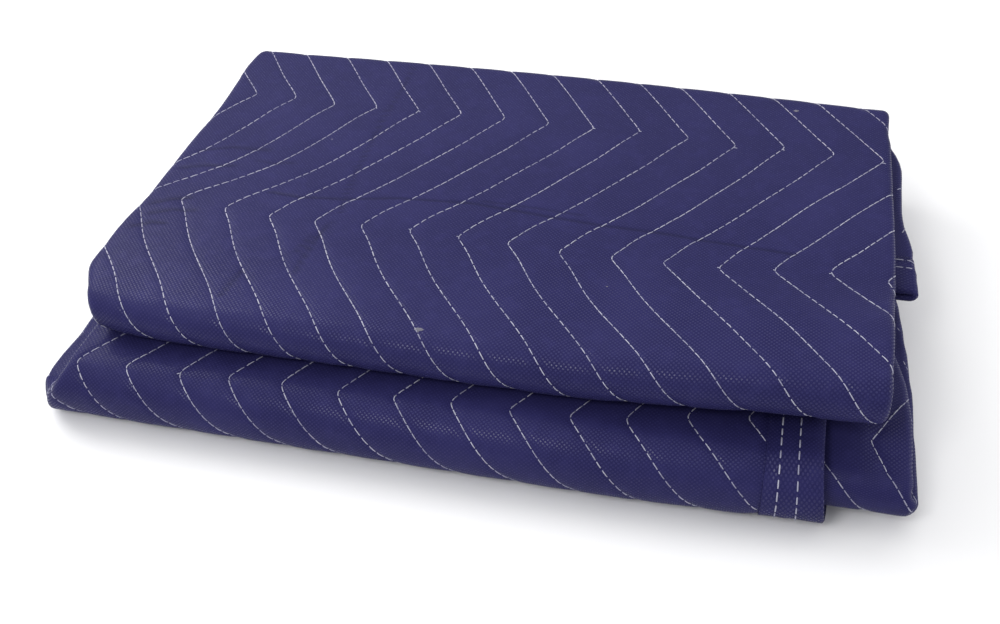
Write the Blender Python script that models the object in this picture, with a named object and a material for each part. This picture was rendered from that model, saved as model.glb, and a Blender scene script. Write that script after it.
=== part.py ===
"""Quilted moving blanket, folded in thirds across its width and then back and forth.

Frame: +X along the long side of the folded stack (the photographed front runs along X),
+Y to the back, +Z up. The origin is the centre of the stack's footprint, on the floor.
Sizes are metres. The tables are in quilting pitches, the distance between two stitch lines.
"""

import math

import bpy
import bmesh
from mathutils import Vector
from mathutils.geometry import delaunay_2d_cdt

# Driving sizes
PITCH = 0.040                 # distance between neighbouring zigzag stitch lines
LAYER = 0.1617 * PITCH        # distance from one cloth layer to the next in the stack
HALF = 0.0029                 # half the thickness of the quilted cloth
HALF_EDGE = 0.0016            # half the thickness where the binding squeezes it
STRIP = 3.0 * LAYER           # height of one folded strip: three layers of cloth
TAPE_WIDTH = 1.0 * PITCH      # binding width seen on one face
TAPE = 0.0009                 # binding cloth thickness
GAP = 0.0003                  # clearance between the panel and its bindings
GROOVE = 0.0006               # depth of the quilting at a stitch line
CROWN = 0.0004                # rise of the quilting between two stitch lines
ZIG_ROWS = 4.084              # half the period of the zigzag along the blanket, in pitches
ZIG_REACH = 2.966             # side reach of the zigzag, in pitches

# Facets round each half turn of the strip: run, facets
FOLD_STEPS = ((1, 5), (3, 7), (5, 5), (7, 8))

# Rows, in pitches of y, where the second and the inner layer bend over the free end
RAMP_ROWS = (-6.5, -6.05, -5.6, -5.2, -4.8, -4.4, -4.0, -3.6, -1.2)

# Fold lines of the strip, in pitches: y at the left end and at the right end
BACK_TOP = (1.940, 1.490)     # centre of the upper back fold
BACK_LOW = (1.50, 1.30)       # centre of the lower back fold
FRONT_TOP = (-6.78, -6.78)    # centre of the upper front fold
FRONT_LOW = (-7.53, -7.48)    # centre of the lower front fold
FREE_END = -3.38              # free bound end that shows at the right
HIDDEN_END = 1.15             # free end inside the lower back fold
BACK_BOW = 0.15               # how far the upper back fold bows out midway
FRONT_DRAW = 0.13             # how far the lower front fold draws back at the right
LEFT_X = -0.6
RIGHT_X = 14.3

# Nominal run of the strip: name, length in pitches
RUNS = (
    ("free_layer", 5.2),
    ("upper_back_fold", 0.8),
    ("top_layer", 8.4),
    ("upper_front_fold", 0.8),
    ("second_layer", 8.2),
    ("lower_back_fold", 1.5),
    ("bottom_layer", 8.9),
    ("lower_front_fold", 1.5),
    ("inner_layer", 8.7),
)

# Sides of the strip: run, fraction along it, left x, right x, flap edge x, inner edge x
SIDES = (
    (0, 0.00, -0.60, 14.72, 13.30, 0.40),
    (0, 0.24, -0.62, 14.66, 13.30, 0.40),
    (0, 0.50, -0.66, 14.49, 13.30, 0.40),
    (0, 0.80, -0.72, 14.53, 13.30, 0.40),
    (1, 0.50, -0.80, 14.20, 13.30, 0.40),
    (2, 0.08, -0.88, 14.15, 13.30, 0.40),
    (2, 0.13, -0.83, 14.18, 13.30, 0.40),
    (2, 0.28, -0.78, 14.18, 13.30, 0.42),
    (2, 0.45, -0.84, 14.19, 13.30, 0.45),
    (2, 0.64, -0.86, 14.17, 13.30, 0.50),
    (2, 0.80, -0.98, 14.07, 13.30, 0.55),
    (2, 0.92, -0.98, 14.01, 13.30, 0.60),
    (3, 0.50, -0.53, 13.97, 13.30, 0.65),
    (4, 0.10, -0.42, 13.98, 13.30, 0.70),
    (4, 0.22, -1.15, 14.12, 13.30, 0.80),
    (4, 0.60, -1.00, 14.28, 13.30, 1.00),
    (5, 0.50, -1.00, 14.30, 13.30, 1.30),
    (6, 0.20, -1.20, 14.45, 13.30, 1.60),
    (6, 0.75, -1.82, 14.82, 13.32, 2.30),
    (7, 0.00, -1.76, 14.78, 13.33, 2.50),
    (7, 0.45, -1.34, 14.68, 13.22, 2.50),
    (7, 0.95, -0.84, 14.60, 13.10, 2.40),
    (8, 0.20, -0.78, 14.62, 13.15, 2.00),
    (8, 0.50, -0.75, 14.36, 13.25, 1.30),
    (8, 1.00, -0.75, 14.30, 13.30, 0.80),
)

# Bands across the strip, in the panel's own width: name, nominal width in pitches
BANDS = (
    ("inner_flap", 14.0),
    ("right_fold", 0.26),
    ("middle", 14.8),
    ("left_fold", 0.51),
    ("outer_flap", 13.8),
)

# Places in x where every layer bends alike: at the left corner and under the lifted corner
LEFT_NODES = (0.1, 1.2)
RIGHT_NODES = (8.8, 10.5, 12.1)

# Upper layers at the front: x, how far they draw back, how far they lift
CORNERS = (
    (-1.6, 0.30, 0.00),
    (0.1, 0.06, 0.00),
    (1.2, 0.00, 0.00),
    (8.8, 0.00, 0.05),
    (10.5, 0.00, 0.20),
    (12.1, 0.00, 0.37),
    (14.6, 0.00, 0.48),
)
LIFT_Y = (3.7, 6.1)           # where the lift starts and is full, towards the front

# Drop of the two inner layers of the lower front fold into its hollow
SAG = 0.16

STARTS = [sum(run[1] for run in RUNS[:i]) for i in range(len(RUNS) + 1)]
EDGES = [sum(band[1] for band in BANDS[:i]) for i in range(len(BANDS) + 1)]
RUN_TOTAL = STARTS[-1]
BAND_TOTAL = EDGES[-1]
UNIT_LAYER = LAYER / PITCH
UNIT_STRIP = STRIP / PITCH
UNIT_HALF = HALF / PITCH

# Shift from the measuring frame to the centre of the footprint
SHIFT_X = -6.4885
SHIFT_Y = 2.9338
FLOOR = 0.5 * STRIP - LAYER - HALF


def smooth(value, low, high):
    """Ease from 0 at low to 1 at high."""
    ratio = min(1.0, max(0.0, (value - low) / (high - low)))
    return ratio * ratio * (3.0 - 2.0 * ratio)


def mix(pair, x):
    """Value of a slanting fold line at x."""
    ratio = min(1.2, max(-0.2, (x - LEFT_X) / (RIGHT_X - LEFT_X)))
    return pair[0] + (pair[1] - pair[0]) * ratio


def back_bow(x):
    """How far the upper back fold bows out at x, in pitches."""
    return BACK_BOW * max(0.0, 1.0 - ((x - 7.0) / 6.6) ** 2)


def sides(t):
    """Left side, right side and flap edge of the strip at the place t along it."""
    places = [STARTS[row[0]] + row[1] * RUNS[row[0]][1] for row in SIDES]
    if t <= places[0]:
        return SIDES[0][2:]
    for i in range(len(places) - 1):
        if t <= places[i + 1]:
            ratio = (t - places[i]) / (places[i + 1] - places[i])
            low, high = SIDES[i][2:], SIDES[i + 1][2:]
            return tuple(a + (b - a) * ratio for a, b in zip(low, high))
    return SIDES[-1][2:]


def band_nodes(t, name):
    """Pairs of place s and x along one flat band, piecewise straight."""
    left, right, edge, inner_edge = sides(t)
    right_c = right - UNIT_LAYER / 2.0 - UNIT_HALF
    left_c = left + UNIT_LAYER + UNIT_HALF
    if name == "inner_flap":
        nodes = [(EDGES[0], inner_edge)]
        nodes += [(EDGES[1] - (14.0 - x), x) for x in RIGHT_NODES]
        return nodes + [(EDGES[1], right_c)]
    if name == "middle":
        nodes = [(EDGES[2], right_c)]
        nodes += [(EDGES[3] - (x + 0.6), x) for x in reversed(LEFT_NODES + RIGHT_NODES)]
        return nodes + [(EDGES[3], left_c)]
    nodes = [(EDGES[4], left_c)]
    nodes += [(EDGES[4] + (x + 0.6), x) for x in LEFT_NODES + RIGHT_NODES]
    return nodes + [(BAND_TOTAL, edge)]


def along(nodes, value, source, target):
    """Straight-line value between the pairs of a list, in either direction."""
    for low, high in zip(nodes[:-1], nodes[1:]):
        inside = (value - low[source]) * (value - high[source]) <= 0.0
        if inside and low[source] != high[source]:
            ratio = (value - low[source]) / (high[source] - low[source])
            return low[target] + (high[target] - low[target]) * ratio
    first, last = nodes[0], nodes[-1]
    near_first = abs(value - first[source]) < abs(value - last[source])
    end, inner = (first, nodes[1]) if near_first else (last, nodes[-2])
    slope = (end[target] - inner[target]) / (end[source] - inner[source])
    return end[target] + slope * (value - end[source])


def sag(t):
    """How far the inner layers stand off the outer one, in the lower front fold."""
    return SAG * smooth(t, STARTS[7] - 1.6, STARTS[7]) * (1.0 - smooth(t, STARTS[8], STARTS[8] + 1.6))


def section(s, t, out):
    """Point of the C-shaped section across the strip: x and height above its middle."""
    left, right = sides(t)[:2]
    drop = sag(t)
    small = UNIT_LAYER / 2.0
    large = UNIT_LAYER + drop / 2.0
    right_c = right - small - UNIT_HALF
    left_c = left + UNIT_LAYER + UNIT_HALF
    if s <= EDGES[1]:
        return along(band_nodes(t, "inner_flap"), s, 0, 1), drop - out
    if s <= EDGES[2]:
        turn = math.pi * (s - EDGES[1]) / BANDS[1][1]
        reach = small + out
        return right_c + reach * math.sin(turn), drop + small - reach * math.cos(turn)
    if s <= EDGES[3]:
        return along(band_nodes(t, "middle"), s, 0, 1), UNIT_LAYER + drop + out
    if s <= EDGES[4]:
        turn = math.pi * (s - EDGES[3]) / BANDS[3][1]
        reach = large + out
        return left_c - (UNIT_LAYER + out) * math.sin(turn), drop / 2.0 + reach * math.cos(turn)
    return along(band_nodes(t, "outer_flap"), s, 0, 1), -UNIT_LAYER - out


def lift(y):
    """Height of the second layer's middle, which rises over the free end to the front."""
    return UNIT_STRIP * (2.5 + smooth(-y, 3.55, 6.80))


def lift_slope(y):
    """Slope of that height along y."""
    return (lift(y + 0.01) - lift(y - 0.01)) / 0.02


def run_of(t):
    """Run number and fraction along it."""
    for i in range(len(RUNS)):
        if t <= STARTS[i + 1] or i == len(RUNS) - 1:
            return i, (t - STARTS[i]) / RUNS[i][1]
    return 0, 0.0


def strip(t, x):
    """Middle of the strip at t: y, z, and the direction of its first face (y, z)."""
    run, f = run_of(t)
    one = UNIT_STRIP
    back_top = mix(BACK_TOP, x)
    back_low = mix(BACK_LOW, x)
    front_top = mix(FRONT_TOP, x)
    front_low = mix(FRONT_LOW, x) + FRONT_DRAW * smooth(x, 9.0, 14.0)
    bow = back_bow(x)
    if run == 0:
        y = FREE_END + (back_top - FREE_END) * f + bow * smooth(f, 0.8, 1.0)
        return y, 3.5 * one, 0.0, -1.0
    if run == 1:
        turn = math.pi * (f - 0.5)
        ny, nz = math.cos(turn), math.sin(turn)
        return back_top + bow + 0.5 * one * ny, 4.0 * one + 0.5 * one * nz, ny, nz
    if run == 2:
        y = back_top + (front_top - back_top) * f + bow * (1.0 - smooth(f, 0.0, 0.2))
        return y, 4.5 * one, 0.0, 1.0
    if run == 3:
        turn = math.pi * (0.5 + f)
        ny, nz = math.cos(turn), math.sin(turn)
        return front_top + 0.5 * one * ny, 4.0 * one + 0.5 * one * nz, ny, nz
    if run == 4:
        y = front_top + (back_low - front_top) * f
        slope = lift_slope(y)
        size = math.hypot(1.0, slope)
        return y, lift(y), slope / size, -1.0 / size
    if run == 5:
        turn = math.pi * f
        ny, nz = -math.sin(turn), -math.cos(turn)
        return back_low - one * ny, 1.5 * one - one * nz, ny, nz
    if run == 6:
        return back_low + (front_low - back_low) * f, 0.5 * one, 0.0, 1.0
    if run == 7:
        turn = math.pi * f
        ny, nz = math.sin(turn), math.cos(turn)
        return front_low - one * ny, 1.5 * one - one * nz, ny, nz
    y = front_low + (HIDDEN_END - front_low) * f
    slope = lift_slope(y)
    size = math.hypot(1.0, slope)
    return y, lift(y) - one, slope / size, -1.0 / size


def settle(x, y, z):
    """Upper layers: the left front corner is rounded, and the right front corner lifts."""
    rounding = along(CORNERS, x, 0, 1) * smooth(-y, 5.0, 6.8)
    rise = along(CORNERS, x, 0, 2) * smooth(-y, *LIFT_Y)
    return y + rounding, z + rise


def place(s, t, out):
    """World point of the panel at (s, t), out metres from its middle to its face."""
    x, height = section(s, t, out / PITCH)
    y, z, ny, nz = strip(t, x)
    y += height * ny
    z += height * nz
    if t < STARTS[5]:
        y, z = settle(x, y, z)
    return Vector(((x + SHIFT_X) * PITCH, (y + SHIFT_Y) * PITCH, z * PITCH - FLOOR))


def edge_distance(s, t):
    """Distance in metres from the nearest bound edge of the panel."""
    width_first = s * PITCH
    width_last = (BAND_TOTAL - s) * PITCH
    return min(width_first, width_last, t * PITCH, (RUN_TOTAL - t) * PITCH)


def half_thickness(s, t):
    """Half the cloth thickness, thinner under the bindings."""
    ratio = smooth(edge_distance(s, t), TAPE_WIDTH + 0.0008, TAPE_WIDTH + 0.009)
    return HALF_EDGE + (HALF - HALF_EDGE) * ratio


def middle_place(x, t):
    """Place s on the middle band at x."""
    return along(band_nodes(t, "middle"), x, 1, 0)


def flap_place(x, t):
    """Place s on the outer flap at x."""
    return along(band_nodes(t, "outer_flap"), x, 1, 0)


def zig(run_length):
    """Side step of a stitch line after a run along the blanket, in pitches."""
    phase = (run_length / ZIG_ROWS) % 2.0
    if phase > 1.0:
        phase = 2.0 - phase
    return -ZIG_REACH * phase


def top_run(t):
    """Distance run along the blanket from the row of back tips, seen on the middle band."""
    run, f = run_of(t)
    back, front = BACK_TOP[0] - 0.2, FRONT_TOP[0]
    if run <= 1:
        return -back - (STARTS[2] - t)
    if run == 2:
        return -(back + (front - back) * f)
    return -front + (t - STARTS[3])


# Row of left-pointing tips on the lower front fold, as a fraction of the half turn
LOW_TIPS = 0.88
LOW_PHASE = 0.62              # x of one of those tips, in pitches


def low_run(t):
    """Distance run along the blanket, seen on the outer flap of the lower part."""
    return (t - (STARTS[7] + LOW_TIPS * RUNS[7][1])) + ZIG_ROWS


def stitch_phase(s, t):
    """How far the place is between two stitch lines, 0 at a line, 0.5 midway."""
    x, height = section(s, t, 0.0)
    if EDGES[2] <= s <= EDGES[3]:
        across = x - zig(top_run(t))
    else:
        across = x - LOW_PHASE - zig(low_run(t)) - ZIG_REACH
    return across - math.floor(across)


def shown(s, t):
    """1 where the quilting stands free, 0 where other layers press on it."""
    if EDGES[2] <= s <= EDGES[3]:
        along = smooth(t, STARTS[1] - 0.1, STARTS[1] + 0.3)
        along *= 1.0 - smooth(t, STARTS[4] - 0.35, STARTS[4])
        inset = min(s - EDGES[2], EDGES[3] - s)
    elif s >= EDGES[4]:
        along = smooth(t, STARTS[5], STARTS[5] + 0.3)
        along *= 1.0 - smooth(t, STARTS[6] - 0.5, STARTS[6])
        along += smooth(t, STARTS[7], STARTS[7] + 0.4)
        along *= 1.0 - smooth(t, STARTS[8] - 0.55, STARTS[8] - 0.2)
        inset = min(s - EDGES[4], BAND_TOTAL - TAPE_WIDTH / PITCH - 0.1 - s)
    else:
        return 0.0
    return along * smooth(inset, 0.0, 0.35)


def relief(s, t):
    """Height of the quilting over the plain cloth, in metres."""
    amount = shown(s, t)
    if amount <= 0.0:
        return 0.0
    phase = stitch_phase(s, t)
    bump = math.sin(math.pi * phase) ** 0.7
    return amount * (-GROOVE + (GROOVE + CROWN) * bump)


def row_places():
    """Rows along the strip that both faces share."""
    rows = [0.0, 0.4, TAPE_WIDTH / PITCH + 0.02, 1.22, 2.4, 3.7]
    for fold, steps in FOLD_STEPS:
        for i in range(steps + 1):
            rows.append(STARTS[fold] + RUNS[fold][1] * i / steps)
    rows += [STARTS[2] + RUNS[2][1] * 0.13, STARTS[2] + RUNS[2][1] * 0.4]
    for fraction in (0.35, 0.7):
        rows.append(STARTS[6] + RUNS[6][1] * fraction)
    for y in RAMP_ROWS:
        second = (y - FRONT_TOP[0]) / (BACK_LOW[0] - FRONT_TOP[0])
        inner = (y - FRONT_LOW[0]) / (HIDDEN_END - FRONT_LOW[0])
        top = (BACK_TOP[0] - y) / (BACK_TOP[0] - FRONT_TOP[0])
        rows.append(STARTS[4] + RUNS[4][1] * second)
        if y < -3.0:
            rows.append(STARTS[2] + RUNS[2][1] * top)
        rows.append(STARTS[8] + RUNS[8][1] * inner)
    last = RUN_TOTAL
    rows += [last - 1.22, last - TAPE_WIDTH / PITCH - 0.02, last - 0.5, last]
    rows = sorted(set(round(row, 4) for row in rows))
    kept = [rows[0]]
    for row in rows[1:]:
        if row - kept[-1] > 0.04:
            kept.append(row)
    kept[-1] = round(last, 4)
    return kept


def column_places():
    """Columns across the strip that both faces share."""
    width = TAPE_WIDTH / PITCH
    columns = [0.0, width + 0.02, 1.22]
    columns += [EDGES[1] - (14.0 - x) for x in RIGHT_NODES]
    for i in range(5):
        columns.append(EDGES[1] + BANDS[1][1] * i / 4.0)
    columns += [EDGES[3] - (x + 0.6) for x in LEFT_NODES + RIGHT_NODES]
    for i in range(6):
        columns.append(EDGES[3] + BANDS[3][1] * i / 5.0)
    columns += [EDGES[4] + (x + 0.6) for x in LEFT_NODES + RIGHT_NODES]
    columns += [BAND_TOTAL - 1.22, BAND_TOTAL - width - 0.02, BAND_TOTAL]
    return sorted(set(round(column, 4) for column in columns))


def line_constraints():
    """Stitch lines and crown lines on the faces that show, as rows of (s, t) points."""
    lines = []
    rows = row_places()

    def trace(ts, at_x, to_place, low, high):
        line = []
        for t in ts:
            s = to_place(at_x(t), t)
            if low <= s <= high:
                line.append((s, t))
            elif line:
                if len(line) > 1:
                    lines.append(line)
                line = []
        if len(line) > 1:
            lines.append(line)

    top_rows = [t for t in rows if STARTS[1] + 0.2 <= t <= STARTS[4] + 0.001]
    for tip in (0.0, ZIG_ROWS):
        ratio = (BACK_TOP[0] - 0.2 + tip) / (BACK_TOP[0] - 0.2 - FRONT_TOP[0])
        top_rows.append(STARTS[2] + RUNS[2][1] * ratio)
    top_rows = sorted(top_rows)
    front_rows = [t for t in top_rows if t >= STARTS[3] - 1.0]
    back_rows = [t for t in rows if STARTS[5] <= t <= STARTS[6]]
    low_rows = [t for t in rows if STARTS[7] <= t <= STARTS[8]]
    low_rows = sorted(low_rows + [STARTS[7] + LOW_TIPS * RUNS[7][1]])
    limit = (EDGES[4] + 0.4, BAND_TOTAL - TAPE_WIDTH / PITCH - 0.24)
    for i in range(-6, 22):
        for part in (0.0, 0.2, 0.5, 0.8):
            trace(top_rows if part in (0.0, 0.5) else front_rows,
                  lambda t: i + part + zig(top_run(t)), middle_place,
                  EDGES[2] + 0.4, EDGES[3] - 0.4)
        for part in (0.0, 0.2, 0.5, 0.8):
            trace(low_rows,
                  lambda t: i + part + LOW_PHASE + ZIG_REACH + zig(low_run(t)),
                  flap_place, *limit)
        for part in (0.0, 0.5):
            trace(back_rows,
                  lambda t: i + part + LOW_PHASE + ZIG_REACH + zig(low_run(t)),
                  flap_place, *limit)
    return lines


def face_net(extra):
    """Triangles over the flat panel, bounded by the shared rows and columns."""
    rows = row_places()
    columns = column_places()
    points = []
    links = []

    def chain(line):
        first = len(points)
        points.extend(Vector(place_) for place_ in line)
        links.extend((first + i, first + i + 1) for i in range(len(line) - 1))

    for t in rows:
        chain([(s, t) for s in columns])
    for s in columns:
        chain([(s, t) for t in rows])
    for line in extra:
        chain(line)
    result = delaunay_2d_cdt(points, links, [], 0, 1e-5, False)
    return [(v[0], v[1]) for v in result[0]], [tuple(f) for f in result[2]]


def rim_loop():
    """Places round the rim of the panel, in order."""
    rows = row_places()
    columns = column_places()
    loop = [(s, rows[0]) for s in columns]
    loop += [(columns[-1], t) for t in rows[1:]]
    loop += [(s, rows[-1]) for s in reversed(columns[:-1])]
    loop += [(columns[0], t) for t in reversed(rows[1:-1])]
    return loop


def make_object(name, mesh_builder, colour, roughness):
    """Make one named object from a filled bmesh."""
    bm = bmesh.new()
    mesh_builder(bm)
    bmesh.ops.recalc_face_normals(bm, faces=bm.faces)
    if bm.calc_volume(signed=True) < 0.0:
        bmesh.ops.reverse_faces(bm, faces=bm.faces)
    mesh = bpy.data.meshes.new(name)
    bm.to_mesh(mesh)
    bm.free()
    obj = bpy.data.objects.new(name, mesh)
    bpy.context.scene.collection.objects.link(obj)
    material = bpy.data.materials.new(name + "_cloth")
    material.use_nodes = True
    shader = material.node_tree.nodes["Principled BSDF"]
    shader.inputs["Base Color"].default_value = colour
    shader.inputs["Roughness"].default_value = roughness
    shader.inputs["Metallic"].default_value = 0.0
    mesh.materials.append(material)
    mesh.shade_smooth()
    mesh.set_sharp_from_angle(angle=math.radians(40.0))
    return obj


def build_panel(bm):
    """Fill the quilted panel: two faces joined round the rim."""
    rims = []
    for sign, lines in ((1, line_constraints()), (-1, [])):
        coords, triangles = face_net(lines)
        verts = []
        for s, t in coords:
            amount = half_thickness(s, t)
            out = amount + relief(s, t) if sign > 0 else -amount
            verts.append(bm.verts.new(place(s, t, out)))
        for tri in triangles:
            bm.faces.new([verts[i] for i in tri])
        rim = []
        for s, t in rim_loop():
            near = min(range(len(coords)),
                       key=lambda i: abs(coords[i][0] - s) + abs(coords[i][1] - t))
            rim.append(verts[near])
        rims.append(rim)
    front, back = rims
    for i in range(len(front)):
        j = (i + 1) % len(front)
        bm.faces.new((front[i], front[j], back[j], back[i]))


def tape_outline():
    """Section of a binding: distance in from its folded edge and offset to one side."""
    inner = HALF_EDGE + GAP
    outer = inner + TAPE
    edge = -(GAP + TAPE)
    loop = [(TAPE_WIDTH, outer), (0.0, outer), (edge, inner * 0.6)]
    loop += [(edge, -inner * 0.6), (0.0, -outer), (TAPE_WIDTH, -outer)]
    loop += [(TAPE_WIDTH, -inner), (-GAP, -inner), (-GAP, inner), (TAPE_WIDTH, inner)]
    return loop


def sweep(bm, stations, to_place):
    """Sweep the binding's section through its stations and cap both ends."""
    outline = tape_outline()
    rings = []
    for station in stations:
        rings.append([bm.verts.new(to_place(station, d, out)) for d, out in outline])
    count = len(outline)
    for ring, following in zip(rings[:-1], rings[1:]):
        for i in range(count):
            j = (i + 1) % count
            bm.faces.new((ring[i], ring[j], following[j], following[i]))
    for ring in (rings[0], rings[-1]):
        bm.faces.new(ring)


def build_side_tape(last):
    """Binding along one long edge of the panel."""
    def place_tape(t, d, out):
        s = BAND_TOTAL - d / PITCH if last else d / PITCH
        return place_beyond(s, t, out)

    def builder(bm):
        sweep(bm, row_places(), place_tape)
    return builder


def build_end_tape(last):
    """Binding along one short edge, between the two side bindings."""
    margin = (TAPE_WIDTH + 0.0006) / PITCH
    stations = [s for s in column_places() if margin < s < BAND_TOTAL - margin]
    stations = [margin] + stations + [BAND_TOTAL - margin]

    def place_tape(s, d, out):
        t = RUN_TOTAL - d / PITCH if last else d / PITCH
        return place_beyond(s, t, out)

    def builder(bm):
        sweep(bm, stations, place_tape)
    return builder


def place_beyond(s, t, out):
    """Point beside the panel or just past its rim."""
    inside_s = min(BAND_TOTAL, max(0.0, s))
    inside_t = min(RUN_TOTAL, max(0.0, t))
    point = place(inside_s, inside_t, out)
    if inside_s != s:
        step = 0.05 if inside_s == 0.0 else -0.05
        near = place(inside_s + step, inside_t, out)
        point = point + (point - near).normalized() * abs(s - inside_s) * PITCH
    if inside_t != t:
        step = 0.05 if inside_t == 0.0 else -0.05
        near = place(inside_s, inside_t + step, out)
        point = point + (point - near).normalized() * abs(t - inside_t) * PITCH
    return point


def main():
    """Build the folded blanket."""
    for obj in list(bpy.data.objects):
        bpy.data.objects.remove(obj, do_unlink=True)
    navy = (0.021, 0.026, 0.085, 1.0)
    tape = (0.019, 0.022, 0.075, 1.0)
    make_object("quilted_panel", build_panel, navy, 0.9)
    make_object("flap_side_binding", build_side_tape(True), tape, 0.85)
    make_object("inner_side_binding", build_side_tape(False), tape, 0.85)
    make_object("free_end_binding", build_end_tape(False), tape, 0.85)
    make_object("hidden_end_binding", build_end_tape(True), tape, 0.85)


if __name__ == "__main__":
    main()
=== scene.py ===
"""Looks of a quilted moving blanket, folded in thirds and then back and forth.

The cloth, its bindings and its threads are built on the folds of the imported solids.
Lengths named in pitches count quilting pitches, the distance between two stitch lines;
all other lengths are metres.
"""

import logging
import math
from dataclasses import dataclass
from enum import Enum, IntEnum
from functools import lru_cache
from typing import Iterator, NamedTuple, Sequence

import bmesh
import bpy
from mathutils import Matrix, Vector, noise


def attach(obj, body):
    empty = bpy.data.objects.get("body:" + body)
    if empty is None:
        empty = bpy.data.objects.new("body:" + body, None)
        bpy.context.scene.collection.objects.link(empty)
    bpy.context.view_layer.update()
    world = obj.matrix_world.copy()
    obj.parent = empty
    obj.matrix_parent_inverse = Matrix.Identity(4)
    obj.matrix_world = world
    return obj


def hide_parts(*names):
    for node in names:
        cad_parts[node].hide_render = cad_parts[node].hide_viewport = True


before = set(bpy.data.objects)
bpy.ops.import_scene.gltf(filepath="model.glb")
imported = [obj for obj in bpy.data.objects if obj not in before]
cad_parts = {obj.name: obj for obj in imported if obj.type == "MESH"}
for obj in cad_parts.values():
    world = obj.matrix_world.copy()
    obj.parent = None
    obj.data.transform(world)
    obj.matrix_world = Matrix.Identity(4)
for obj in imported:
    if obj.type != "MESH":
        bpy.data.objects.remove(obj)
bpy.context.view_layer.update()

LOG = logging.getLogger("moving_blanket")
BODY = "root"


class Run(IntEnum):
    """Stretches of the folded strip, from the free end to the hidden end."""

    FREE_LAYER = 0
    UPPER_BACK_FOLD = 1
    TOP_LAYER = 2
    UPPER_FRONT_FOLD = 3
    SECOND_LAYER = 4
    LOWER_BACK_FOLD = 5
    BOTTOM_LAYER = 6
    LOWER_FRONT_FOLD = 7
    INNER_LAYER = 8


class Band(IntEnum):
    """Bands across the blanket, from the inner bound edge to the outer one."""

    INNER_FLAP = 0
    RIGHT_FOLD = 1
    MIDDLE = 2
    LEFT_FOLD = 3
    OUTER_FLAP = 4


class Slot(Enum):
    """Names for the panel's and the bindings' material slots."""

    PANEL = "panel"
    BINDING = "binding"


class SideRow(NamedTuple):
    """Sides of the strip at one place along it, in pitches."""

    run: Run
    share: float
    left: float
    right: float
    flap_edge: float
    inner_edge: float


class Corner(NamedTuple):
    """Draw back and lift of the upper layers' front at one x, in pitches."""

    x: float
    back: float
    lift: float


# Driving sizes
PITCH = 0.040
LAYER = 0.1617 * PITCH
HALF = 0.0029
HALF_EDGE = 0.0016
STRIP = 3.0 * LAYER
TAPE_WIDTH = 1.0 * PITCH
TAPE = 0.0009
GAP = 0.0003
UNIT_LAYER = LAYER / PITCH
UNIT_STRIP = STRIP / PITCH
UNIT_HALF = HALF / PITCH
UNIT_TAPE = TAPE_WIDTH / PITCH

# Fold lines of the strip, in pitches: y at the left end and at the right end
BACK_TOP = (1.940, 1.490)
BACK_LOW = (1.50, 1.30)
FRONT_TOP = (-6.78, -6.78)
FRONT_LOW = (-7.53, -7.48)
FREE_END = -3.38
HIDDEN_END = 1.15
BACK_BOW = 0.15
FRONT_DRAW = 0.13
LEFT_X = -0.6
RIGHT_X = 14.3

RUN_LENGTHS = (5.2, 0.8, 8.4, 0.8, 8.2, 1.5, 8.9, 1.5, 8.7)
BAND_WIDTHS = (14.0, 0.26, 14.8, 0.51, 13.8)
STARTS = tuple(sum(RUN_LENGTHS[:i]) for i in range(len(RUN_LENGTHS) + 1))
EDGES = tuple(sum(BAND_WIDTHS[:i]) for i in range(len(BAND_WIDTHS) + 1))
LONG_END = STARTS[-1]
WIDE_END = EDGES[-1]

SIDES = (
    SideRow(Run.FREE_LAYER, 0.00, -0.60, 14.72, 13.30, 0.40),
    SideRow(Run.FREE_LAYER, 0.24, -0.62, 14.66, 13.30, 0.40),
    SideRow(Run.FREE_LAYER, 0.50, -0.66, 14.49, 13.30, 0.40),
    SideRow(Run.FREE_LAYER, 0.80, -0.72, 14.53, 13.30, 0.40),
    SideRow(Run.UPPER_BACK_FOLD, 0.50, -0.80, 14.20, 13.30, 0.40),
    SideRow(Run.TOP_LAYER, 0.08, -0.88, 14.15, 13.30, 0.40),
    SideRow(Run.TOP_LAYER, 0.13, -0.83, 14.18, 13.30, 0.40),
    SideRow(Run.TOP_LAYER, 0.28, -0.78, 14.18, 13.30, 0.42),
    SideRow(Run.TOP_LAYER, 0.45, -0.84, 14.19, 13.30, 0.45),
    SideRow(Run.TOP_LAYER, 0.64, -0.86, 14.17, 13.30, 0.50),
    SideRow(Run.TOP_LAYER, 0.80, -0.98, 14.07, 13.30, 0.55),
    SideRow(Run.TOP_LAYER, 0.92, -0.98, 14.01, 13.30, 0.60),
    SideRow(Run.UPPER_FRONT_FOLD, 0.50, -0.53, 13.97, 13.30, 0.65),
    SideRow(Run.SECOND_LAYER, 0.10, -0.42, 13.98, 13.30, 0.70),
    SideRow(Run.SECOND_LAYER, 0.22, -1.15, 14.12, 13.30, 0.80),
    SideRow(Run.SECOND_LAYER, 0.60, -1.00, 14.28, 13.30, 1.00),
    SideRow(Run.LOWER_BACK_FOLD, 0.50, -1.00, 14.30, 13.30, 1.30),
    SideRow(Run.BOTTOM_LAYER, 0.20, -1.20, 14.45, 13.30, 1.60),
    SideRow(Run.BOTTOM_LAYER, 0.75, -1.82, 14.82, 13.32, 2.30),
    SideRow(Run.LOWER_FRONT_FOLD, 0.00, -1.76, 14.78, 13.33, 2.50),
    SideRow(Run.LOWER_FRONT_FOLD, 0.45, -1.34, 14.68, 13.22, 2.50),
    SideRow(Run.LOWER_FRONT_FOLD, 0.95, -0.84, 14.60, 13.10, 2.40),
    SideRow(Run.INNER_LAYER, 0.20, -0.78, 14.62, 13.15, 2.00),
    SideRow(Run.INNER_LAYER, 0.50, -0.75, 14.36, 13.25, 1.30),
    SideRow(Run.INNER_LAYER, 1.00, -0.75, 14.30, 13.30, 0.80),
)

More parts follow.
